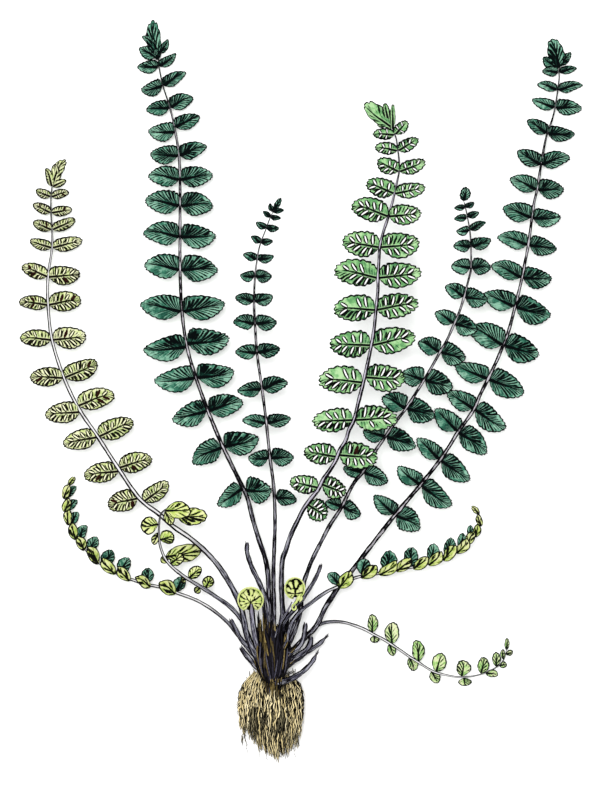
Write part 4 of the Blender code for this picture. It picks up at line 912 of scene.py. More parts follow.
def frond(name, f, look):
    rng = np.random.default_rng(look["seed"])
    path = Path(f["path"], f["high"])
    length = path.length
    w0, w1 = f["width"]

    def width(s):
        return (w0 + (w1 - w0) * (np.asarray(s, float) / length) ** 0.8) * PX

    build = Build()
    mats = look["mats"]            # stalk, leaflet top, leaflet bottom, other row's top, spores, flap, brown spores

    # stalk and midrib
    s = np.append(np.arange(0, length - 1.5, 2.0), length - 0.8)
    taper = ease(s, length + 1.0, length - 8.0)
    near = ease(s, look["slate"][1], look["slate"][0])
    up = np.array([0.0, 0.0, 1.0])
    wobble = 1 + 0.05 * np.sin(0.21 * s + look["seed"]) + 0.03 * np.sin(0.57 * s)
    fine = 1 - 0.45 * ease(s, length - 110, length - 10)
    tube(build, path.at(s), up, 0.47 * width(s) * wobble * fine * (0.25 + 0.75 * taper),
         0.34 * width(s) * fine * (0.25 + 0.75 * taper), 0, sides=16, section=channel, run=s, dark=near,
         seed=rng.uniform(), tone=ease(s, length - 90, length - 20))

    def tip_high(c, size, side, lift):
        high = c[2] / MM
        if "stand" in f:
            high += f["stand"][0 if side < 0 else 1] * min(size / 17.0, 1.25)
        else:
            high += (-f["drop"] - side * f["roll"]) * size * PX / MM
        return max(high + lift, 0.30)

    def leaflet(s, tip, wide, side, lift, st, last=False, start=None):
        c = path.at(s)
        if start is not None:
            c = spots(start[0], start[1], c[2] / MM - 0.1)
        elif "stand" in f and side < 0:             # the near row stands over the stalk and hides it
            way = np.array(tip, float) - path.plan(s)
            ahead = path.plan(min(s + 1.0, length)) - path.plan(max(s - 1.0, 0.0))
            out = unit(np.array([-ahead[1], ahead[0]]))
            out = out * (-1 if out @ way > 0 else 1)
            at = path.plan(s) + 1.7 * out
            c = spots(at[0], at[1], c[2] / MM + 0.45)
        size = float(np.linalg.norm(np.array(tip, float) - np.array(path.plan(s) if start is None else start, float)))
        end = spots(tip[0], tip[1], tip_high(c, size, side, lift))
        way = end - c
        way[2] = 0
        near = "stand" in f and side < 0
        foot = c + unit(way) * (0.0 if last or near else 0.34) * float(width(s)) - np.array([0, 0, 0.00006])
        ahead = path.along(s)
        if last:
            ahead = np.cross([0, 0, 1.0], unit(way))
        big = "large" if wide >= 19 else "middle" if wide >= 11 else "small"
        st = dict(st)
        st["teeth"] = max(3, round(st["teeth"] * {"large": 1.0, "middle": 0.8, "small": 0.62}[big]))
        st["thick"] = st["thick"] * (1.0 if wide > 12 else 0.8)
        twist = math.radians(rng.uniform(1, 8)) if "stand" not in f else math.radians(rng.uniform(-10, 10))
        leaf = Leaf(foot, end, wide * PX, ahead, st, rng, twist)
        part = s / length
        dark_side, dark, light = look["shade"](side, part, rng)
        tone = look["tone"](side, part, rng)
        other = "stand" in f and side > 0
        leaf.put(build, big, 3 if other else 1, 2, dark_side, dark, light, tone)
        n = look["sori"](wide) if not last else 0
        for half in (1, -1):
            for k in range(n):
                if rng.uniform() < 0.06:
                    continue
                q0 = {4: 0.34 + 0.15 * k, 3: 0.36 + 0.20 * k, 2: 0.42 + 0.25 * k}[n] + rng.uniform(-0.012, 0.012)
                span = (0.12 + rng.uniform(0, 0.05), 0.89 + rng.uniform(-0.12, 0.02) - 0.03 * k)
                fat = (0.00056 if wide > 18 else 0.00046 if wide > 12 else 0.00034) * look.get("fat", 1.0)
                open_ = rng.uniform() < look["brown"]
                sorus(build, leaf, q0, half, span, fat * rng.uniform(0.9, 1.08) * (0.8 if open_ else 1.0), 0.00014,
                      6 if open_ else 4, None if open_ else 5, fat * 0.38, 0.00023, rng)
        return leaf

    for item in f["leaves"]:
        node, tip, wide, side = item[:4]
        lift = item[4] if len(item) > 4 else 0.0
        st = look["style"] if not ("stand" in f and side > 0) else BLUNT
        leaflet(path.nearest(node), tip, wide, side, lift, st)
    tip, wide = f["tip"]
    leaflet(length - 2.0, tip, wide, 0, 0.0, look.get("tip_style", TIP), last=True)
    for item in f["lobes"]:
        tip, wide, side = item[:3]
        leaflet(length - 4.0, tip, wide, side, -0.1, look["style"], start=item[3] if len(item) > 3 else None)
    ob = build.make(name + "_leafage", mats)
    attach(ob, "root")
    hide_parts(name)
    print("PIECE", name, build.triangles)
    return ob


def upper_dark(side, part, rng):
    """Which half of a leaflet is shaded, how darkly, and how darkly the other is."""
    dark = rng.uniform(0.45, 0.85) if side < 0 else rng.uniform(0.85, 1.0)
    other = rng.uniform(0.12, 0.42) if side < 0 else rng.uniform(0.40, 0.75)
    return 1, float(dark), float(other)


def fertile_dark(side, part, rng):
    if side < 0:
        return -1, float(rng.uniform(0.70, 0.95)), float(rng.uniform(0.0, 0.12))
    return 1, float(rng.uniform(0.40, 0.70)), float(rng.uniform(0.08, 0.30))


def lower_dark(side, part, rng):
    return -1, float(rng.uniform(0.60, 0.95)), float(rng.uniform(0.25, 0.55))


def some_dark(side, part, rng):
    return (1 if rng.uniform() < 0.5 else -1), float(rng.uniform(0.5, 1.0)), float(rng.uniform(0.15, 0.45))


def no_tone(side, part, rng):
    return 0.0


def no_sori(wide):
    return 0


def many_sori(wide):
    return 4 if wide >= 21 else 3 if wide >= 14 else 2 if wide >= 10 else 0


TEAL_MATS = [STALK_DARK, TEAL, TEAL_UNDER, TEAL, SPORES, FLAP, SPORES_BROWN]
LOOKS = {
    "frond_pale_left": dict(seed=11, mats=[STALK_PALE, PALE, PALE_UNDER, PALE, SPORES, FLAP_PALE, SPORES_BROWN],
                            slate=(60, 190), shade=lower_dark, tone=no_tone, sori=many_sori, brown=0.12, fat=0.86,
                            style=dict(SCALLOP, cut=0.06), slot="frond_pale_green"),
    "frond_tall_left": dict(seed=12, mats=TEAL_MATS, slate=(80, 240), shade=upper_dark, tone=no_tone, sori=no_sori,
                            brown=0, style=PLAIN, slot="frond_dark_green"),
    "frond_short_middle": dict(seed=13, mats=TEAL_MATS, slate=(80, 240), shade=upper_dark,
                               tone=lambda side, part, rng: 0.35, sori=no_sori, brown=0, style=PLAIN,
                               slot="frond_dark_green"),
    "frond_fertile_middle": dict(seed=14, mats=[STALK_LILAC, FERN, FERN_UNDER, FERN, SPORES, FLAP, SPORES_BROWN],
                                 slate=(60, 200), shade=fertile_dark,
                                 tone=lambda side, part, rng: 0.9 if part < 0.30 else 0.0, sori=many_sori,
                                 brown=0.02, style=SCALLOP, tip_style=dict(TIP, full=0.64),
                                 slot="frond_mid_green"),
    "frond_slender_right": dict(seed=15, mats=TEAL_MATS, slate=(80, 220), shade=upper_dark, tone=no_tone,
                                sori=no_sori, brown=0, style=PLAIN, slot="frond_dark_green"),
    "frond_tall_right": dict(seed=16, mats=TEAL_MATS, slate=(60, 200), shade=upper_dark, tone=no_tone,
                             sori=no_sori, brown=0, style=PLAIN, slot="frond_dark_green"),
    "frond_low_left": dict(seed=17, mats=[STALK_PALE, YOUNG, YOUNG_UNDER, TEAL, SPORES, FLAP, SPORES_BROWN],
                           slate=(40, 90), shade=some_dark, tone=no_tone, sori=no_sori, brown=0,
                           style=FOLDED, slot="frond_young_green"),
    "frond_low_right": dict(seed=18, mats=[STALK_PALE, YOUNG, YOUNG_UNDER, TEAL, SPORES, FLAP, SPORES_BROWN],
                            slate=(50, 110), shade=some_dark, tone=no_tone, sori=no_sori, brown=0,
                            style=FOLDED, slot="frond_young_green"),
    "frond_trailing_right": dict(seed=19, mats=[STALK_PALE, LIGHT, LIGHT_UNDER, LIGHT, SPORES, FLAP, SPORES_BROWN],
                                 slate=(40, 110), shade=some_dark, tone=no_tone, sori=no_sori, brown=0,
                                 style=BLUNT, slot="frond_light_green"),
    "frond_young_curled": dict(seed=20, mats=[STALK_PALE, YOUNG, YOUNG_UNDER, YOUNG, SPORES, FLAP, SPORES_BROWN],
                               slate=(60, 150), shade=some_dark, tone=no_tone, sori=no_sori, brown=0,
                               style=dict(BLUNT, cut=0.03), slot="frond_young_green"),
}
for key, spec in FRONDS.items():
    frond(key, spec, LOOKS[key])


# ---------------------------------------------------------------- old stalks
STUB_PAINT = stalk_paint("old_stalk", tint(134, 132, 150), tint(92, 92, 110), tint(6, 4, 7), show=0.34)
FRAY_PAINT = stalk_paint("old_stalk_fibres", tint(120, 112, 118), tint(60, 54, 60), tint(20, 16, 20), show=0.3)


def stub(name, spec, seed, frayed):
    rng = np.random.default_rng(seed)
    pts, (za, zb), (wa, wb) = spec
    path = Path(pts, [(0, za), (1, zb)])
    build = Build()
    s = np.linspace(0, path.length, max(14, int(path.length / 2)))
    wide = 0.5 * PX * (wa + (wb - wa) * s / path.length)
    wide = wide * (1 + 0.07 * np.sin(0.5 * s + seed) + 0.04 * np.sin(1.3 * s))
    shut = 0.45 + 0.55 * ease(s, -1.0, 5.0) if frayed else 0.8 + 0.2 * ease(s, 0, 3)
    p = path.at(s)
    up = np.array([0.0, 0.0, 1.0])
    tube(build, p, up, wide * shut, 0.85 * wide * shut, 0, sides=14, section=channel, run=s + 40 * seed,
         dark=0.4 + 0.6 * ease(s, 0, 0.6 * path.length), seed=rng.uniform(),
         tone=0.75 * ease(s, path.length - 24, path.length - 8))
    # the torn end: splinters that run on a little past it
    t0 = -path.along(0.0)
    left = np.cross([0, 0, 1.0], t0)
    for k in range(9 if frayed else 6):
        a = 2 * np.pi * (k + rng.uniform(0, 0.6)) / (9 if frayed else 6)
        out = left * math.cos(a) + np.array([0, 0, 1.0]) * math.sin(a)
        size = rng.uniform(0.5, 1.0) * (0.0019 if frayed else 0.0006)
        foot = p[0] + out * wide[0] * 0.55 * (0.6 if frayed else 1) - t0 * 0.0007
        u = np.linspace(0, 1, 6)[:, None]
        line = foot + t0 * (size + 0.0007) * u + out * (0.00035 if frayed else 0.00012) * u ** 2 * rng.uniform(-0.3, 1.2)
        thin = (0.00013 if frayed else 0.00018) * (1 - 0.85 * u[:, 0])
        tube(build, line, out if abs(out[2]) > 0.2 else np.array([0.0, 0.0, 1.0]), thin, thin * 0.8, 1, sides=6,
             run=u[:, 0] * 20 + 9 * k, dark=0.5, seed=rng.uniform())
    ob = build.make(name + "_old", [STUB_PAINT, FRAY_PAINT])
    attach(ob, "root")
    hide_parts(name)


for k, (key, spec) in enumerate(STUBS.items()):
    stub(key, spec, 31 + k, key in ("stipe_stub_6", "stipe_stub_7"))


# ---------------------------------------------------------------- crown
def crown_paint():
    p = Paint("crown_scales", 0.8, 0.04)
    lat, run, seed = p.value("edge"), p.value("run"), p.value("seed")
    long = p.noise(1.0, 3, at=p.vec(p.mul(lat, 3.0), p.mul(run, 0.10), p.mul(seed, 40)))
    grain = p.noise(2600, 3)
    kind = p.ramp(p.value("tone"), ((0.0, tint(10, 8, 10)), (0.22, tint(52, 50, 62)), (0.42, tint(126, 124, 142)),
                                    (0.58, tint(98, 84, 50)), (0.80, tint(170, 148, 92)), (1.0, tint(232, 210, 148))))
    ink = tint(8, 6, 7)
    line = p.ease(p.sub(p.do("ABSOLUTE", lat), p.ease(long, 0.35, 0.65, 0.80, 0.30)), -0.08, 0.08)
    colour = p.mix(line, kind, ink)
    colour = p.mix(p.mul(p.ease(grain, 0.52, 0.66), 0.6), colour, ink)
    p.bump(p.add(long, grain), 0.45, 0.00012)
    return p.finish(colour)


def heap(low, high):
    """The upper side of what lies between two plan cells, to lay scales on."""
    a, b = spots(low[0], high[1], 10.0), spots(high[0], low[1], 10.0)
    verts, faces, n = [], [], 0
    for ob in bpy.context.scene.objects:
        if ob.type != "MESH" or ob.name not in LAID:
            continue
        me = ob.data
        co = np.empty(len(me.vertices) * 3, np.float32)
        me.vertices.foreach_get("co", co)
        co = co.reshape(-1, 3)
        inside = (co[:, 0] > a[0]) & (co[:, 0] < b[0]) & (co[:, 1] > a[1]) & (co[:, 1] < b[1])
        if not inside.any():
            continue
        vi = np.empty(len(me.loops), np.int32)
        me.loops.foreach_get("vertex_index", vi)
        start = np.empty(len(me.polygons), np.int32)
        me.polygons.foreach_get("loop_start", start)
        total = np.empty(len(me.polygons), np.int32)
        me.polygons.foreach_get("loop_total", total)
        pick = np.nonzero(inside[vi[start]])[0]
        faces += [[int(v) + n for v in vi[start[f]:start[f] + total[f]]] for f in pick]
        verts.append(co)
        n += len(co)
    return BVHTree.FromPolygons(np.concatenate(verts).tolist(), faces)


def crown():
    rng = np.random.default_rng(51)
    c = spots(*CROWN_AT)
    rx, ry, rz = CROWN_R
    build = Build()
    t = np.linspace(-0.995, 0.995, 30)
    full = np.sqrt(1 - t ** 2)
    line = c + np.stack([0 * t, t * ry, 0 * t], -1)
    tube(build, line, np.array([0.0, 0.0, 1.0]), rx * full, rz * full, 0, sides=40,
         section=lambda co, si: (co * (1 + 0.05 * np.sin(9 * np.arctan2(si, co))),
                                 si * (1 + 0.05 * np.sin(9 * np.arctan2(si, co)))),
         run=t * 40, seed=0.3, tone=0.1)
    # bases of stalks long gone, and narrow scales, laid up the rhizome
    for k in range(110):
        scale_ = k >= 60
        a = rng.uniform(-0.25, np.pi + 0.25) if rng.uniform() < 0.70 else rng.uniform(-np.pi, 0)
        y0 = rng.uniform(-0.97, 0.55)
        reach = rng.uniform(0.0035, 0.0075) if scale_ else rng.uniform(0.0050, 0.0095)
        yy = c[1] + y0 * ry + reach * np.linspace(0, 1, 12)
        u = np.linspace(0, 1, 12)
        frac = np.clip((yy - c[1]) / ry, -0.98, 0.98)
        hug = np.sqrt(1 - frac ** 2)
        hug = np.where((yy - c[1]) > 0, np.maximum(hug, 0.80 + 0.12 * rng.uniform()), hug)
        stand = 1.02 + 0.05 * rng.uniform() + 0.25 * u ** 2 * rng.uniform(0, 1)
        a_t = a + 0.16 * np.sin(2.2 * u + rng.uniform(0, 6)) * rng.uniform(0.3, 1)
        x = c[0] + np.cos(a_t) * rx * hug * stand
        z = c[2] + np.sin(a_t) * rz * hug * stand
        pts = np.stack([x, yy, z], -1)
        out = np.stack([np.cos(a_t), 0 * u, np.sin(a_t)], -1)
        body = np.sin(np.pi * (0.10 + 0.86 * u)) ** 0.6
        if scale_:
            wide, tall = rng.uniform(0.00016, 0.00032), 0.00007
        else:
            wide = rng.uniform(0.00030, 0.00048)
            tall = wide * 0.6
        tube(build, pts, out, wide * body, tall * body, 0, sides=8, run=u * 30 + 13 * k, seed=rng.uniform(),
             tone=rng.choice([0.0, 0.1, 0.2, 0.3, 0.6, 0.75]))
    # scales and fibres laid over the foot of the stalks, from the neck upwards
    top = heap((240, 600), (312, 705))

    def lay(x, y, wide, tone, lift=0.12, tall=0.00007, point=0.85):
        m = len(x)
        z = []
        for px, py in zip(x, y):
            w = spots(px, py, 10.0)
            hit = top.ray_cast(Vector((w[0], w[1], 0.06)), Vector((0, 0, -1)))[0]
            z.append(hit[2] * 1000 if hit is not None and hit[2] > 0.002 else np.nan)
        z = np.array(z)
        if np.isnan(z).all():
            return
        good = ~np.isnan(z)
        z = np.interp(np.arange(m), np.arange(m)[good], z[good])
        wide_z = np.array([z[max(0, k - 1):k + 2].max() for k in range(m)])
        z = np.convolve(np.pad(wide_z, 1, mode="edge"), [0.25, 0.5, 0.25], "valid")
        u = np.linspace(0, 1, m)
        body = (0.45 + 0.55 * ease(u, 0, 0.15)) * (1 - point * ease(u, 0.35, 1.0))
        tube(build, spots(x, y, np.minimum(z + lift, 17.0)), np.array([0.0, 0.0, 1.0]), wide * PX * body, tall * body,
             0, sides=6, run=u * 30 + 17 * rng.uniform(0, 40), seed=rng.uniform(), tone=tone)

    u = np.linspace(0, 1, 16)
    for k in range(330):
        b = rng.uniform(-1, 1)
        foot = np.array([273.0 + (8.0 if k < 230 else 6.0) * b,
                         (rng.uniform(668, 692) if k < 230 else rng.uniform(690, 704)) - 6 * abs(b)])
        tip = np.array([271.5 + 13.0 * b + rng.uniform(-1.5, 1.5), 616 + 20 * abs(b) ** 1.5 + rng.uniform(0, 10)])
        lo = rng.uniform(0.0, 0.55)
        hi = min(1.0, lo + rng.uniform(0.25, 0.55))
        v = lo + (hi - lo) * u
        bend = 1.6 * b * np.sin(np.pi * v) + 0.5 * np.sin(5 * v + 6 * rng.uniform())
        x, y = foot[0] + (tip[0] - foot[0]) * v + bend, foot[1] + (tip[1] - foot[1]) * v
        tone = rng.choice([0.0, 0.05, 0.15, 0.30, 0.58, 0.62, 0.72, 0.80, 0.90])
        lay(x, y, rng.uniform(0.42, 0.80), float(tone), lift=rng.uniform(0.05, 0.22))
    for k in range(7):                              # the tan scales high in the middle
        x0 = 275.0 + 0.7 * k + rng.uniform(-0.6, 0.6) - 2
        y0 = rng.uniform(626, 646)
        lay(x0 + 0.6 * np.sin(3 * u), y0 - rng.uniform(9, 16) * u, rng.uniform(0.55, 0.85), rng.uniform(0.85, 1.0),
            lift=0.3)
    for k in range(70):                             # the fan of fine fibres at the right
        v = rng.uniform(0, 1)
        foot = np.array([277 + 8 * v, 660 + rng.uniform(-4, 8)])
        tip = np.array([283 + 19 * v + rng.uniform(-1, 1), 622 + 26 * v ** 1.3 + rng.uniform(0, 8)])
        lo = rng.uniform(0.1, 0.6)
        w = lo + rng.uniform(0.2, 0.4) * u
        x, y = foot[0] + (tip[0] - foot[0]) * w, foot[1] + (tip[1] - foot[1]) * w + 2.5 * np.sin(np.pi * w) * v
        lay(x, y, rng.uniform(0.35, 0.6), float(rng.choice([0.0, 0.0, 0.1, 0.25, 0.42, 0.6, 0.8])), lift=0.08)
    for k in range(40):                             # and below it, along the lowest stalks
        v = rng.uniform(0, 1)
        foot = np.array([274 + 3 * v, 663 + 14 * v])
        tip = np.array([298 + 3 * v, 648 + 18 * v + rng.uniform(-1.5, 1.5)])
        lo = rng.uniform(0.0, 0.55)
        w = lo + rng.uniform(0.2, 0.45) * u
        x, y = foot[0] + (tip[0] - foot[0]) * w, foot[1] + (tip[1] - foot[1]) * w + 3.0 * np.sin(np.pi * w)
        lay(x, y, rng.uniform(0.35, 0.6), float(rng.choice([0.0, 0.0, 0.2, 0.42, 0.62, 0.85])), lift=0.08)
    for k in range(36):                             # between the stalks at the left
        v = rng.uniform(0, 1)
        foot = np.array([265 + rng.uniform(-2, 3), 676 + rng.uniform(-6, 4)])
        tip = np.array([250 + 12 * v + rng.uniform(-1, 1), 640 - 8 * v + rng.uniform(0, 10)])
        lo = rng.uniform(0.0, 0.6)
        w = lo + rng.uniform(0.2, 0.4) * u
        lay(foot[0] + (tip[0] - foot[0]) * w, foot[1] + (tip[1] - foot[1]) * w, rng.uniform(0.35, 0.65),
            float(rng.choice([0.0, 0.0, 0.2, 0.3, 0.42])), lift=0.08)
    ob = build.make("crown_scaly", [crown_paint()])
    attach(ob, "root")
    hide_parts("crown")
    print("PIECE crown", build.triangles)


# ---------------------------------------------------------------- roots
def root_paint():
    p = Paint("root_straw_strands", 0.9, 0.03)
    run, seed, tone = p.value("run"), p.value("seed"), p.value("tone")
    lat = p.do("ABSOLUTE", p.value("edge"))
    long = p.noise(1.0, 3, at=p.vec(p.mul(lat, 2.0), p.mul(run, 0.22), p.mul(seed, 60)))
    grain = p.noise(3000, 2)
    straw = p.ramp(p.add(p.mul(seed, 0.6), p.mul(long, 0.4)), ((0.0, (0.50, 0.39, 0.165, 1)),
                                                                (0.35, (0.66, 0.54, 0.275, 1)),
                                                                (0.7, (0.76, 0.65, 0.385, 1)),
                                                                (1.0, (0.82, 0.75, 0.52, 1))))
    dusk = p.ramp(long, ((0.36, tint(16, 14, 10)), (0.47, tint(104, 98, 76)), (0.60, tint(190, 178, 138))))
    colour = p.mix(p.ease(tone, 0.2, 0.8), straw, dusk)
    ink = tint(10, 8, 5)
    line = p.ease(p.sub(lat, p.ease(long, 0.36, 0.54, 0.64, 0.26)), -0.06, 0.06)
    colour = p.mix(line, colour, ink)
    p.bump(p.add(long, grain), 0.4, 0.0001)
    return p.finish(colour)


def root_core_paint():
    p = Paint("root_core", 0.9, 0.03)
    at = p.t.nodes.new("ShaderNodeVectorMath")
    at.operation = "MULTIPLY"
    p.t.links.new(p.place(), at.inputs[0])
    at.inputs[1].default_value = (2200, 420, 2200)
    grain = p.noise(1.0, 3, at=at.outputs[0])
    p.bump(grain, 0.6, 0.0002)
    # painted shade: the core is streaked near-black and dark brown so that the gaps between the strands read dark; its
    # paler streaks are straw
    return p.finish(p.ramp(grain, ((0.36, tint(12, 10, 6)), (0.48, tint(120, 104, 66)), (0.60, tint(226, 206, 150)))))


# The tuft's half width with the strands' own lanes, which stay apart below.
LANE_X = [(672, 267), (680, 271.5), (692, 271.5), (705, 271), (725, 270.5), (745, 270), (764, 274)]
LANE_HALF = [(670, 16), (676, 22), (682, 27), (692, 31), (706, 32.5), (725, 30.5), (745, 27), (764, 25)]


def roots():
    rng = np.random.default_rng(61)
    build = Build()

    def frame_at(gy):
        return smooth(LANE_X, gy), smooth(LANE_HALF, gy), smooth(ROOT_TOP, gy)

    # the middle of the tuft, flat below and blunt at the bottom
    gy = np.linspace(674, 733, 30)
    fill = 0.84 * np.sqrt(np.clip(np.sin(np.pi * np.linspace(0.05, 0.96, 30)), 0, 1)) ** 0.7
    cx, half, high = frame_at(gy)
    ang = 2 * np.pi * np.arange(28) / 28
    rings = []
    for i in range(30):
        lump = 1 + 0.06 * np.sin(7 * ang + 0.13 * gy[i]) + 0.04 * np.sin(11 * ang - 0.2 * gy[i])
        x = cx[i] + half[i] * fill[i] * lump * np.cos(ang)
        z = 0.46 * high[i] + np.where(np.sin(ang) > 0, 0.50, 0.58) * high[i] * fill[i] * lump * np.sin(ang)
        rings.append(spots(x, gy[i], np.maximum(z, 0.05)))
    ring = np.array(rings)
    n, m = ring.shape[:2]
    i, k = np.meshgrid(np.arange(n - 1), np.arange(m), indexing="ij")
    a, b = i * m + k, i * m + (k + 1) % m
    quads = np.stack([a, a + m, b + m, b], -1).reshape(-1, 4)
    kk = np.arange(m)
    verts = np.concatenate([ring.reshape(-1, 3), ring[:1].mean(axis=1), ring[-1:].mean(axis=1)])
    tris = np.concatenate([np.stack([np.full(m, n * m), kk, (kk + 1) % m], -1),
                           np.stack([np.full(m, n * m + 1), (n - 1) * m + (kk + 1) % m, (n - 1) * m + kk], -1)])
    build.add(verts, quads, tris, 1)

    def strand(lane, under, lift, y0, y1, fat, wig, tone, astray=0.0, sides=6):
        """A root: lane -1 to 1 across the tuft, on its upper or lower face, from y0 to y1 down the plan."""
        m = max(10, int((y1 - y0) / 2.2))
        u = np.linspace(0, 1, m)
        gy = y0 + (y1 - y0) * u
        cx, half, high = frame_at(gy)
        spread = 0.72 + 0.28 * ease(gy, 668, 684)
        ph = rng.uniform(0, 6.28, 4)
        k1, k2 = rng.uniform(0.75, 1.05), rng.uniform(1.4, 1.9)
        fx = wig * (0.85 * np.sin(gy * k1 + ph[0]) + 0.45 * np.sin(gy * k2 + ph[1]))
        keys = np.arange(gy[0] - 6, gy[-1] + 12, rng.uniform(3.4, 5.6))
        fx = 0.35 * fx + 1.25 * wig * np.interp(gy, keys, rng.uniform(-1, 1, len(keys)))
        x = cx + half * lane * spread + fx * ease(u, 0, 0.12) + astray * u ** 1.3
        hump = np.sqrt(np.clip(1 - (lane * 0.98) ** 2, 0.02, 1))
        end = 1 - 0.45 * ease(u, 0.55, 1.0) * (1 if not under else 0)
        z = 0.46 * high + (0.54 * hump * high * lift * end if not under else -0.44 * hump * high * lift)
        z = z + 0.25 * np.sin(gy * 0.55 + ph[2])
        z = np.clip(z, 0.15, 12.6)
        pts = spots(x, gy, z)
        thick = fat * PX * (1 - 0.80 * u ** 2.2) * (0.55 + 0.45 * ease(u, 0, 0.12))
        out = unit(np.array([0.5 * lane, 0.0, -1.0 if under else 1.0]))
        tube(build, pts, carried(pts, out), thick, thick * 0.8, 0, sides=sides, run=gy + 7 * ph[0],
             seed=rng.uniform(), tone=tone)

    def bottom(lane):
        return 759 - (24 if lane < 0.18 else 19) * abs(lane - 0.18) ** 1.3

    def dusky(lane):
        return 0.70 if 0.02 < lane < 0.45 else 0.30 if 0.45 <= lane < 0.62 else 0.12

    # main roots in layers, each layer a little higher and starting at other heights
    for layer in range(5):
        count = 30
        for k in range(count):
            lane = -1 + 2 * (k + rng.uniform(0.1, 0.9)) / count
            y0 = rng.uniform(671, 678) if layer < 3 else rng.uniform(674, 712)
            y1 = bottom(lane) + rng.uniform(-9, 2) if layer < 3 else min(y0 + rng.uniform(24, 52), bottom(lane))
            tone = 1.0 if rng.uniform() < dusky(lane) else 0.0
            slant = 0.0 if layer < 3 or lane < 0.35 else rng.uniform(2.0, 6.0)
            strand(lane - slant / 50, False, 0.90 + 0.045 * layer, y0, y1, rng.uniform(1.10, 1.65),
                   rng.uniform(0.6, 1.15), tone, astray=slant)
    for k in range(70):
        lane = rng.uniform(-0.95, 0.95)
        y0 = rng.uniform(672, 700)
        strand(lane, True, rng.uniform(0.85, 1.0), y0, bottom(lane) - rng.uniform(0, 12), rng.uniform(0.9, 1.5),
               rng.uniform(0.6, 1.1), 1.0 if rng.uniform() < 0.15 else 0.0)
    # dark hairs that lie on top and come out at the sides and below
    for k in range(80):
        lane = rng.uniform(-0.95, 0.95)
        y0 = rng.uniform(676, 738)
        strand(lane, False, 1.10, y0, min(y0 + rng.uniform(10, 30), 762), rng.uniform(0.35, 0.55),
               rng.uniform(0.8, 1.4), 1.0, sides=5)
    for k in range(16):
        lane = rng.uniform(-0.55, 0.85)
        y1 = min(bottom(lane) + rng.uniform(-2, 6), 763.2)
        strand(lane, False, rng.uniform(0.2, 0.7), y1 - rng.uniform(14, 26), y1, rng.uniform(0.30, 0.55),
               rng.uniform(0.3, 0.8), 1.0 if rng.uniform() < 0.6 else 0.0, astray=rng.uniform(-2, 4), sides=5)
    for k in range(30):                     # straw ends that taper out below, with gaps between them
        lane = -0.95 + 1.9 * (k + rng.uniform(0.2, 0.8)) / 30
        y1 = bottom(lane) + rng.uniform(-3, 4)
        strand(lane, False, rng.uniform(0.5, 0.9), y1 - rng.uniform(24, 36), min(y1, 763.2), rng.uniform(1.2, 1.7),
               rng.uniform(0.4, 0.9), 0.0, astray=rng.uniform(-2.5, 3.0))
    for side, rows in ((-1, 26), (1, 22)):
        for k in range(rows):
            y0 = rng.uniform(680, 738)
            strand(side * rng.uniform(0.90, 1.0), False, rng.uniform(0.3, 0.9), y0, y0 + rng.uniform(6, 15),
                   rng.uniform(0.30, 0.70), rng.uniform(0.3, 0.7), 1.0 if rng.uniform() < 0.6 else 0.0,
                   astray=side * rng.uniform(0.5, 4.0), sides=5)
    for k in range(4):                      # the lock that stands out at the left
        strand(-0.84, False, 0.8, 694 + 1.5 * k, 703 + 1.8 * k, 1.1, 0.3, 0.0, astray=-7.5)
    for x0, y0, x1, y1, curl in ((292.5, 668, 291.5, 680, 1.2), (295.5, 669, 296, 681, -1.0), (288.5, 671, 287.5, 682, 0.8),
                                 (249.5, 671, 253, 681, -1.2), (253, 669, 256, 678, 1.0), (246, 677, 249, 686, 1.0)):
        v = np.linspace(0, 1, 9)            # short roots bent up at the shoulders
        pts = spots(x0 + (x1 - x0) * v + curl * np.sin(np.pi * v), y0 + (y1 - y0) * v, 3.0 + 1.3 * v)
        thin = 0.75 * PX * (0.35 + 0.65 * v)
        tube(build, pts, carried(pts, np.array([0.0, 0.0, 1.0])), thin, thin * 0.8, 0, sides=6, run=12 * v,
             seed=rng.uniform(), tone=0.8)
    ob = build.make("root_tuft_strands", [root_paint(), root_core_paint()])
    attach(ob, "root")
    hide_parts("root_tuft")
    print("PIECE roots", build.triangles)


roots()
crown()                         # its lowest scales lie on the roots


# ---------------------------------------------------------------- croziers
def bud_paint():
    p = Paint("crozier_green", 0.75, 0.05)
    lat, run, seed = p.do("ABSOLUTE", p.value("edge")), p.value("run"), p.value("seed")
    grain = p.noise(2600, 2)
    blot = p.noise(700, 2)
    broken = p.noise(1300, 2)
    deep = p.add(p.mul(p.sub(blot, 0.5), 1.5), p.add(0.32, p.mul(lat, 0.25)), clamp=True)
    colour = p.ramp(deep, ((0.0, tint(244, 246, 184)), (0.5, tint(222, 236, 142)), (1.0, tint(164, 208, 96))))
    line = p.ease(p.sub(lat, p.ease(broken, 0.40, 0.62, 0.92, 0.55)), -0.06, 0.06)
    colour = p.mix(line, colour, tint(14, 18, 8))
    p.bump(grain, 0.3, 0.00008)
    return p.finish(colour)


BUD = bud_paint()


def lobe(build, points, up, wide, tall, mat, seed, swell=None):
    u = np.linspace(0, 1, len(points))
    body = np.sin(np.pi * (0.06 + 0.88 * u)) ** 0.55 if swell is None else swell
    tube(build, points, up, wide * body, tall * body, mat, sides=10, run=u * 20, seed=seed)


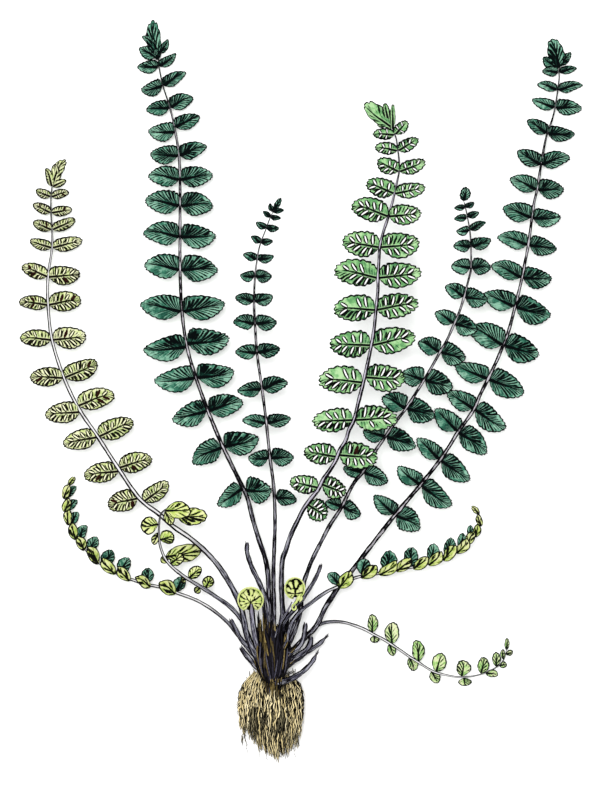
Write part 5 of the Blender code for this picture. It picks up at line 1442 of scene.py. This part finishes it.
def coil_face(build, c, hub, rx, ry, rz, first, last, rings, rng):
    """The face of a coil: folded leaflets that spread from the hub to the rim in rings, over a near-black heart that
    shows between them as painted shade.
    first and last are in degrees, a ring is (start, end, number)."""
    # painted shade: the heart uses the near-black spore-case paint, so that the gaps between the leaflets read dark
    t = np.linspace(-0.98, 0.98, 16)
    tube(build, c + np.stack([0 * t, t * ry * 0.88, 0 * t], -1), np.array([0.0, 0.0, 1.0]),
         0.88 * rx * np.sqrt(1 - t ** 2), 0.80 * rz * np.sqrt(1 - t ** 2), 2, sides=20, seed=0.1, run=t)
    for start, end, number in rings:
        step = math.radians(last - first) / number
        for k in range(number):
            a = math.radians(first) + step * (k + 0.5 + rng.uniform(-0.16, 0.16))
            s, e = start + rng.uniform(-0.04, 0.05), end + rng.uniform(-0.05, 0.0)
            # how far the rim is from the hub this way
            d = np.array([math.cos(a) / rx, math.sin(a) / ry])
            h = np.array([hub[0] / rx, hub[1] / ry])
            A, B, C = d @ d, 2 * h @ d, h @ h - 1
            far = (-B + math.sqrt(max(B * B - 4 * A * C, 0))) / (2 * A)
            u = np.linspace(0, 1, 11)
            w = (s + (e - s) * u) * far
            lean = a + rng.uniform(-0.10, 0.10) * np.sin(np.pi * u)
            x, y = hub[0] + w * np.cos(lean), hub[1] + w * np.sin(lean)
            out = np.clip(1 - (x / rx) ** 2 - (y / ry) ** 2, 0.03, 1)
            z = rz * np.sqrt(out)
            pts = c + np.stack([x, y, z], -1) * np.array([0.96, 0.96, 0.95])
            up = unit(np.stack([x / rx ** 2, y / ry ** 2, np.maximum(z, 0.3 * rz) / rz ** 2], -1))
            half = 0.56 * np.maximum(w, 0.12 * rx) * step
            half = np.minimum(half, 0.30 * rx) * np.where(u < 0.5, 0.75 + 0.5 * u, 1.0)
            lobe(build, pts, up, half, 0.14 * rx, 0, rng.uniform(),
                 swell=(np.sin(np.pi * (0.05 + 0.90 * u)) ** 0.4))


def rim_of_coil(build, c, rx, ry, first, last, fat):
    """The smooth outer back of a coil, round the folded leaflets."""
    a = np.radians(np.linspace(first, last, 44))
    u = np.linspace(0, 1, 44)
    end = np.sqrt(np.clip(np.sin(np.pi * (0.02 + 0.96 * u)), 0, 1)) ** 0.6
    line = c + np.stack([rx * np.cos(a), ry * np.sin(a), 0 * a + 0.25 * MM], -1)
    tube(build, line, unit(np.stack([0.5 * np.cos(a), 0.5 * np.sin(a), 0 * a + 1.0], -1)), fat * end, 0.9 * MM * end, 0,
         sides=10, run=a * 8, seed=0.7)


def crozier_left():
    rng = np.random.default_rng(71)
    pts, (za, zb), half, head, (rx, ry, rz) = CROZIERS["crozier_left"]
    pts = pts[:-1] + [(252, 612), (251.5, 604)]
    path = Path(pts, [(0, za), (0.45, zb - 0.3), (0.85, zb + 0.9), (1, zb + 1.6)])
    build = Build()
    s = np.linspace(0, path.length, 30)
    shut = 1 - 0.55 * ease(s, path.length - 7, path.length)
    tube(build, path.at(s), np.array([0.0, 0.0, 1.0]), (half + 0.3) * PX * shut, half * PX * 0.7 * shut, 1, sides=14,
         section=channel, run=s, dark=0.75 - 0.6 * ease(s, path.length - 20, path.length - 4), seed=0.4)
    c = spots(250.6, 600.0, zb - 0.6)
    R = 11.7 * PX
    coil_face(build, c, (0.0, -0.20 * R), R, R, 2.0 * MM, -60, 240,
              ((0.10, 0.50, 6), (0.42, 0.96, 13)), rng)
    rim_of_coil(build, c, 0.97 * R, 0.97 * R, -58, 238, 1.5 * PX)
    # the spore-case paint here is the coil's near-black heart, painted shade
    ob = build.make("crozier_left_coil", [BUD, STALK_SLATE, SPORES])
    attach(ob, "root")
    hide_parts("crozier_left")


def crozier_right():
    rng = np.random.default_rng(72)
    pts, (za, zb), half, head, (rx, ry, rz) = CROZIERS["crozier_right"]
    path = Path(pts, [(0, za - 1.5), (0.45, zb - 2.0), (1, zb - 0.4)])
    build = Build()
    s = np.linspace(0, path.length, 30)
    thin = 1.25 * PX * (1 - 0.5 * ease(s, 0.7 * path.length, path.length))
    tube(build, path.at(s), np.array([0.0, 0.0, 1.0]), thin, thin * 0.85, 1, sides=12, section=channel,
         run=s, dark=ease(s, path.length, path.length * 0.6), seed=0.6)
    c = spots(294.8, 588.6, zb - 0.5)
    coil_face(build, c, (0.05 * rx * PX, -0.52 * ry * PX), 8.9 * PX, 9.9 * PX, 1.8 * MM, -50, 230,
              ((0.10, 0.48, 4), (0.42, 0.96, 9)), rng)
    rim_of_coil(build, c, 8.7 * PX, 9.7 * PX, -64, 262, 1.2 * PX)
    # the neck, and the curl below where the tip comes round again
    for (x0, y0), (x1, y1), wide in (((299.5, 594.5), (296, 601.5), 2.0), ((301.5, 596), (299.5, 602), 1.4),
                                     ((297, 599.5), (293.5, 604.5), 1.6)):
        u = np.linspace(0, 1, 9)
        at = spots(x0 + (x1 - x0) * u + 0.8 * np.sin(np.pi * u), y0 + (y1 - y0) * u, zb + 0.6 - 0.5 * u)
        lobe(build, at, np.array([0.0, 0.0, 1.0]), wide * PX, 1.1 * PX, 0, rng.uniform())
    a = np.radians(np.linspace(60, 395, 28))
    at = spots(294.0 + 1.9 * np.cos(a), 607.2 - 2.7 * np.sin(a), zb - 0.2 + 0.2 * a / 6.28)
    tube(build, at, np.array([0.0, 0.0, 1.0]), 1.05 * PX, 0.9 * PX, 0, sides=9, run=a * 8, seed=0.2)
    # the spore-case paint here is the coil's near-black heart, painted shade
    ob = build.make("crozier_right_coil", [BUD, STALK_SLATE, SPORES])
    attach(ob, "root")
    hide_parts("crozier_right")


crozier_left()
crozier_right()


# ---------------------------------------------------------------- stage, light and camera
def stage():
    me = bpy.data.meshes.new("pale_floor")
    me.from_pydata([(-6, -6, 0), (6, -6, 0), (6, 6, 0), (-6, 6, 0)], [], [(0, 1, 2, 3)])
    floor = bpy.data.objects.new("pale_floor", me)
    bpy.context.scene.collection.objects.link(floor)
    p = Paint("pale_floor", 0.9, 0.05)
    mottle = p.noise(3.0, 2)
    me.materials.append(p.finish(p.mix(mottle, (0.93, 0.93, 0.93, 1), (0.95, 0.95, 0.95, 1))))

    world = bpy.data.worlds.new("soft_white")
    world.use_nodes = True
    world.node_tree.nodes["Background"].inputs["Color"].default_value = (1.0, 1.0, 1.0, 1)
    world.node_tree.nodes["Background"].inputs["Strength"].default_value = 0.90
    bpy.context.scene.world = world

    lamp = bpy.data.lights.new("soft_key", "AREA")
    lamp.shape = "DISK"
    lamp.size = 0.5
    lamp.energy = 29.0
    key = bpy.data.objects.new("soft_key", lamp)
    key.location = (-0.10, 0.20, 1.80)
    aim = np.array([0.0, 0.07, 0.0]) - np.array(key.location)
    key.rotation_euler = Vector(aim).to_track_quat("-Z", "Y").to_euler()
    bpy.context.scene.collection.objects.link(key)

    cam = bpy.data.cameras.new("above")
    cam.sensor_width = 36.0
    cam.lens = 36.0 * EYE / (800 * PX)
    cam.clip_start, cam.clip_end = 0.05, 50.0
    eye = bpy.data.objects.new("above", cam)
    eye.location = ((MID[0] - ORIGIN[0]) * PX, (ORIGIN[1] - MID[1]) * PX, EYE)
    eye.rotation_euler = (0.0, 0.0, 0.0)
    bpy.context.scene.collection.objects.link(eye)
    bpy.context.scene.camera = eye
    bpy.context.scene.view_settings.view_transform = "Standard"


stage()
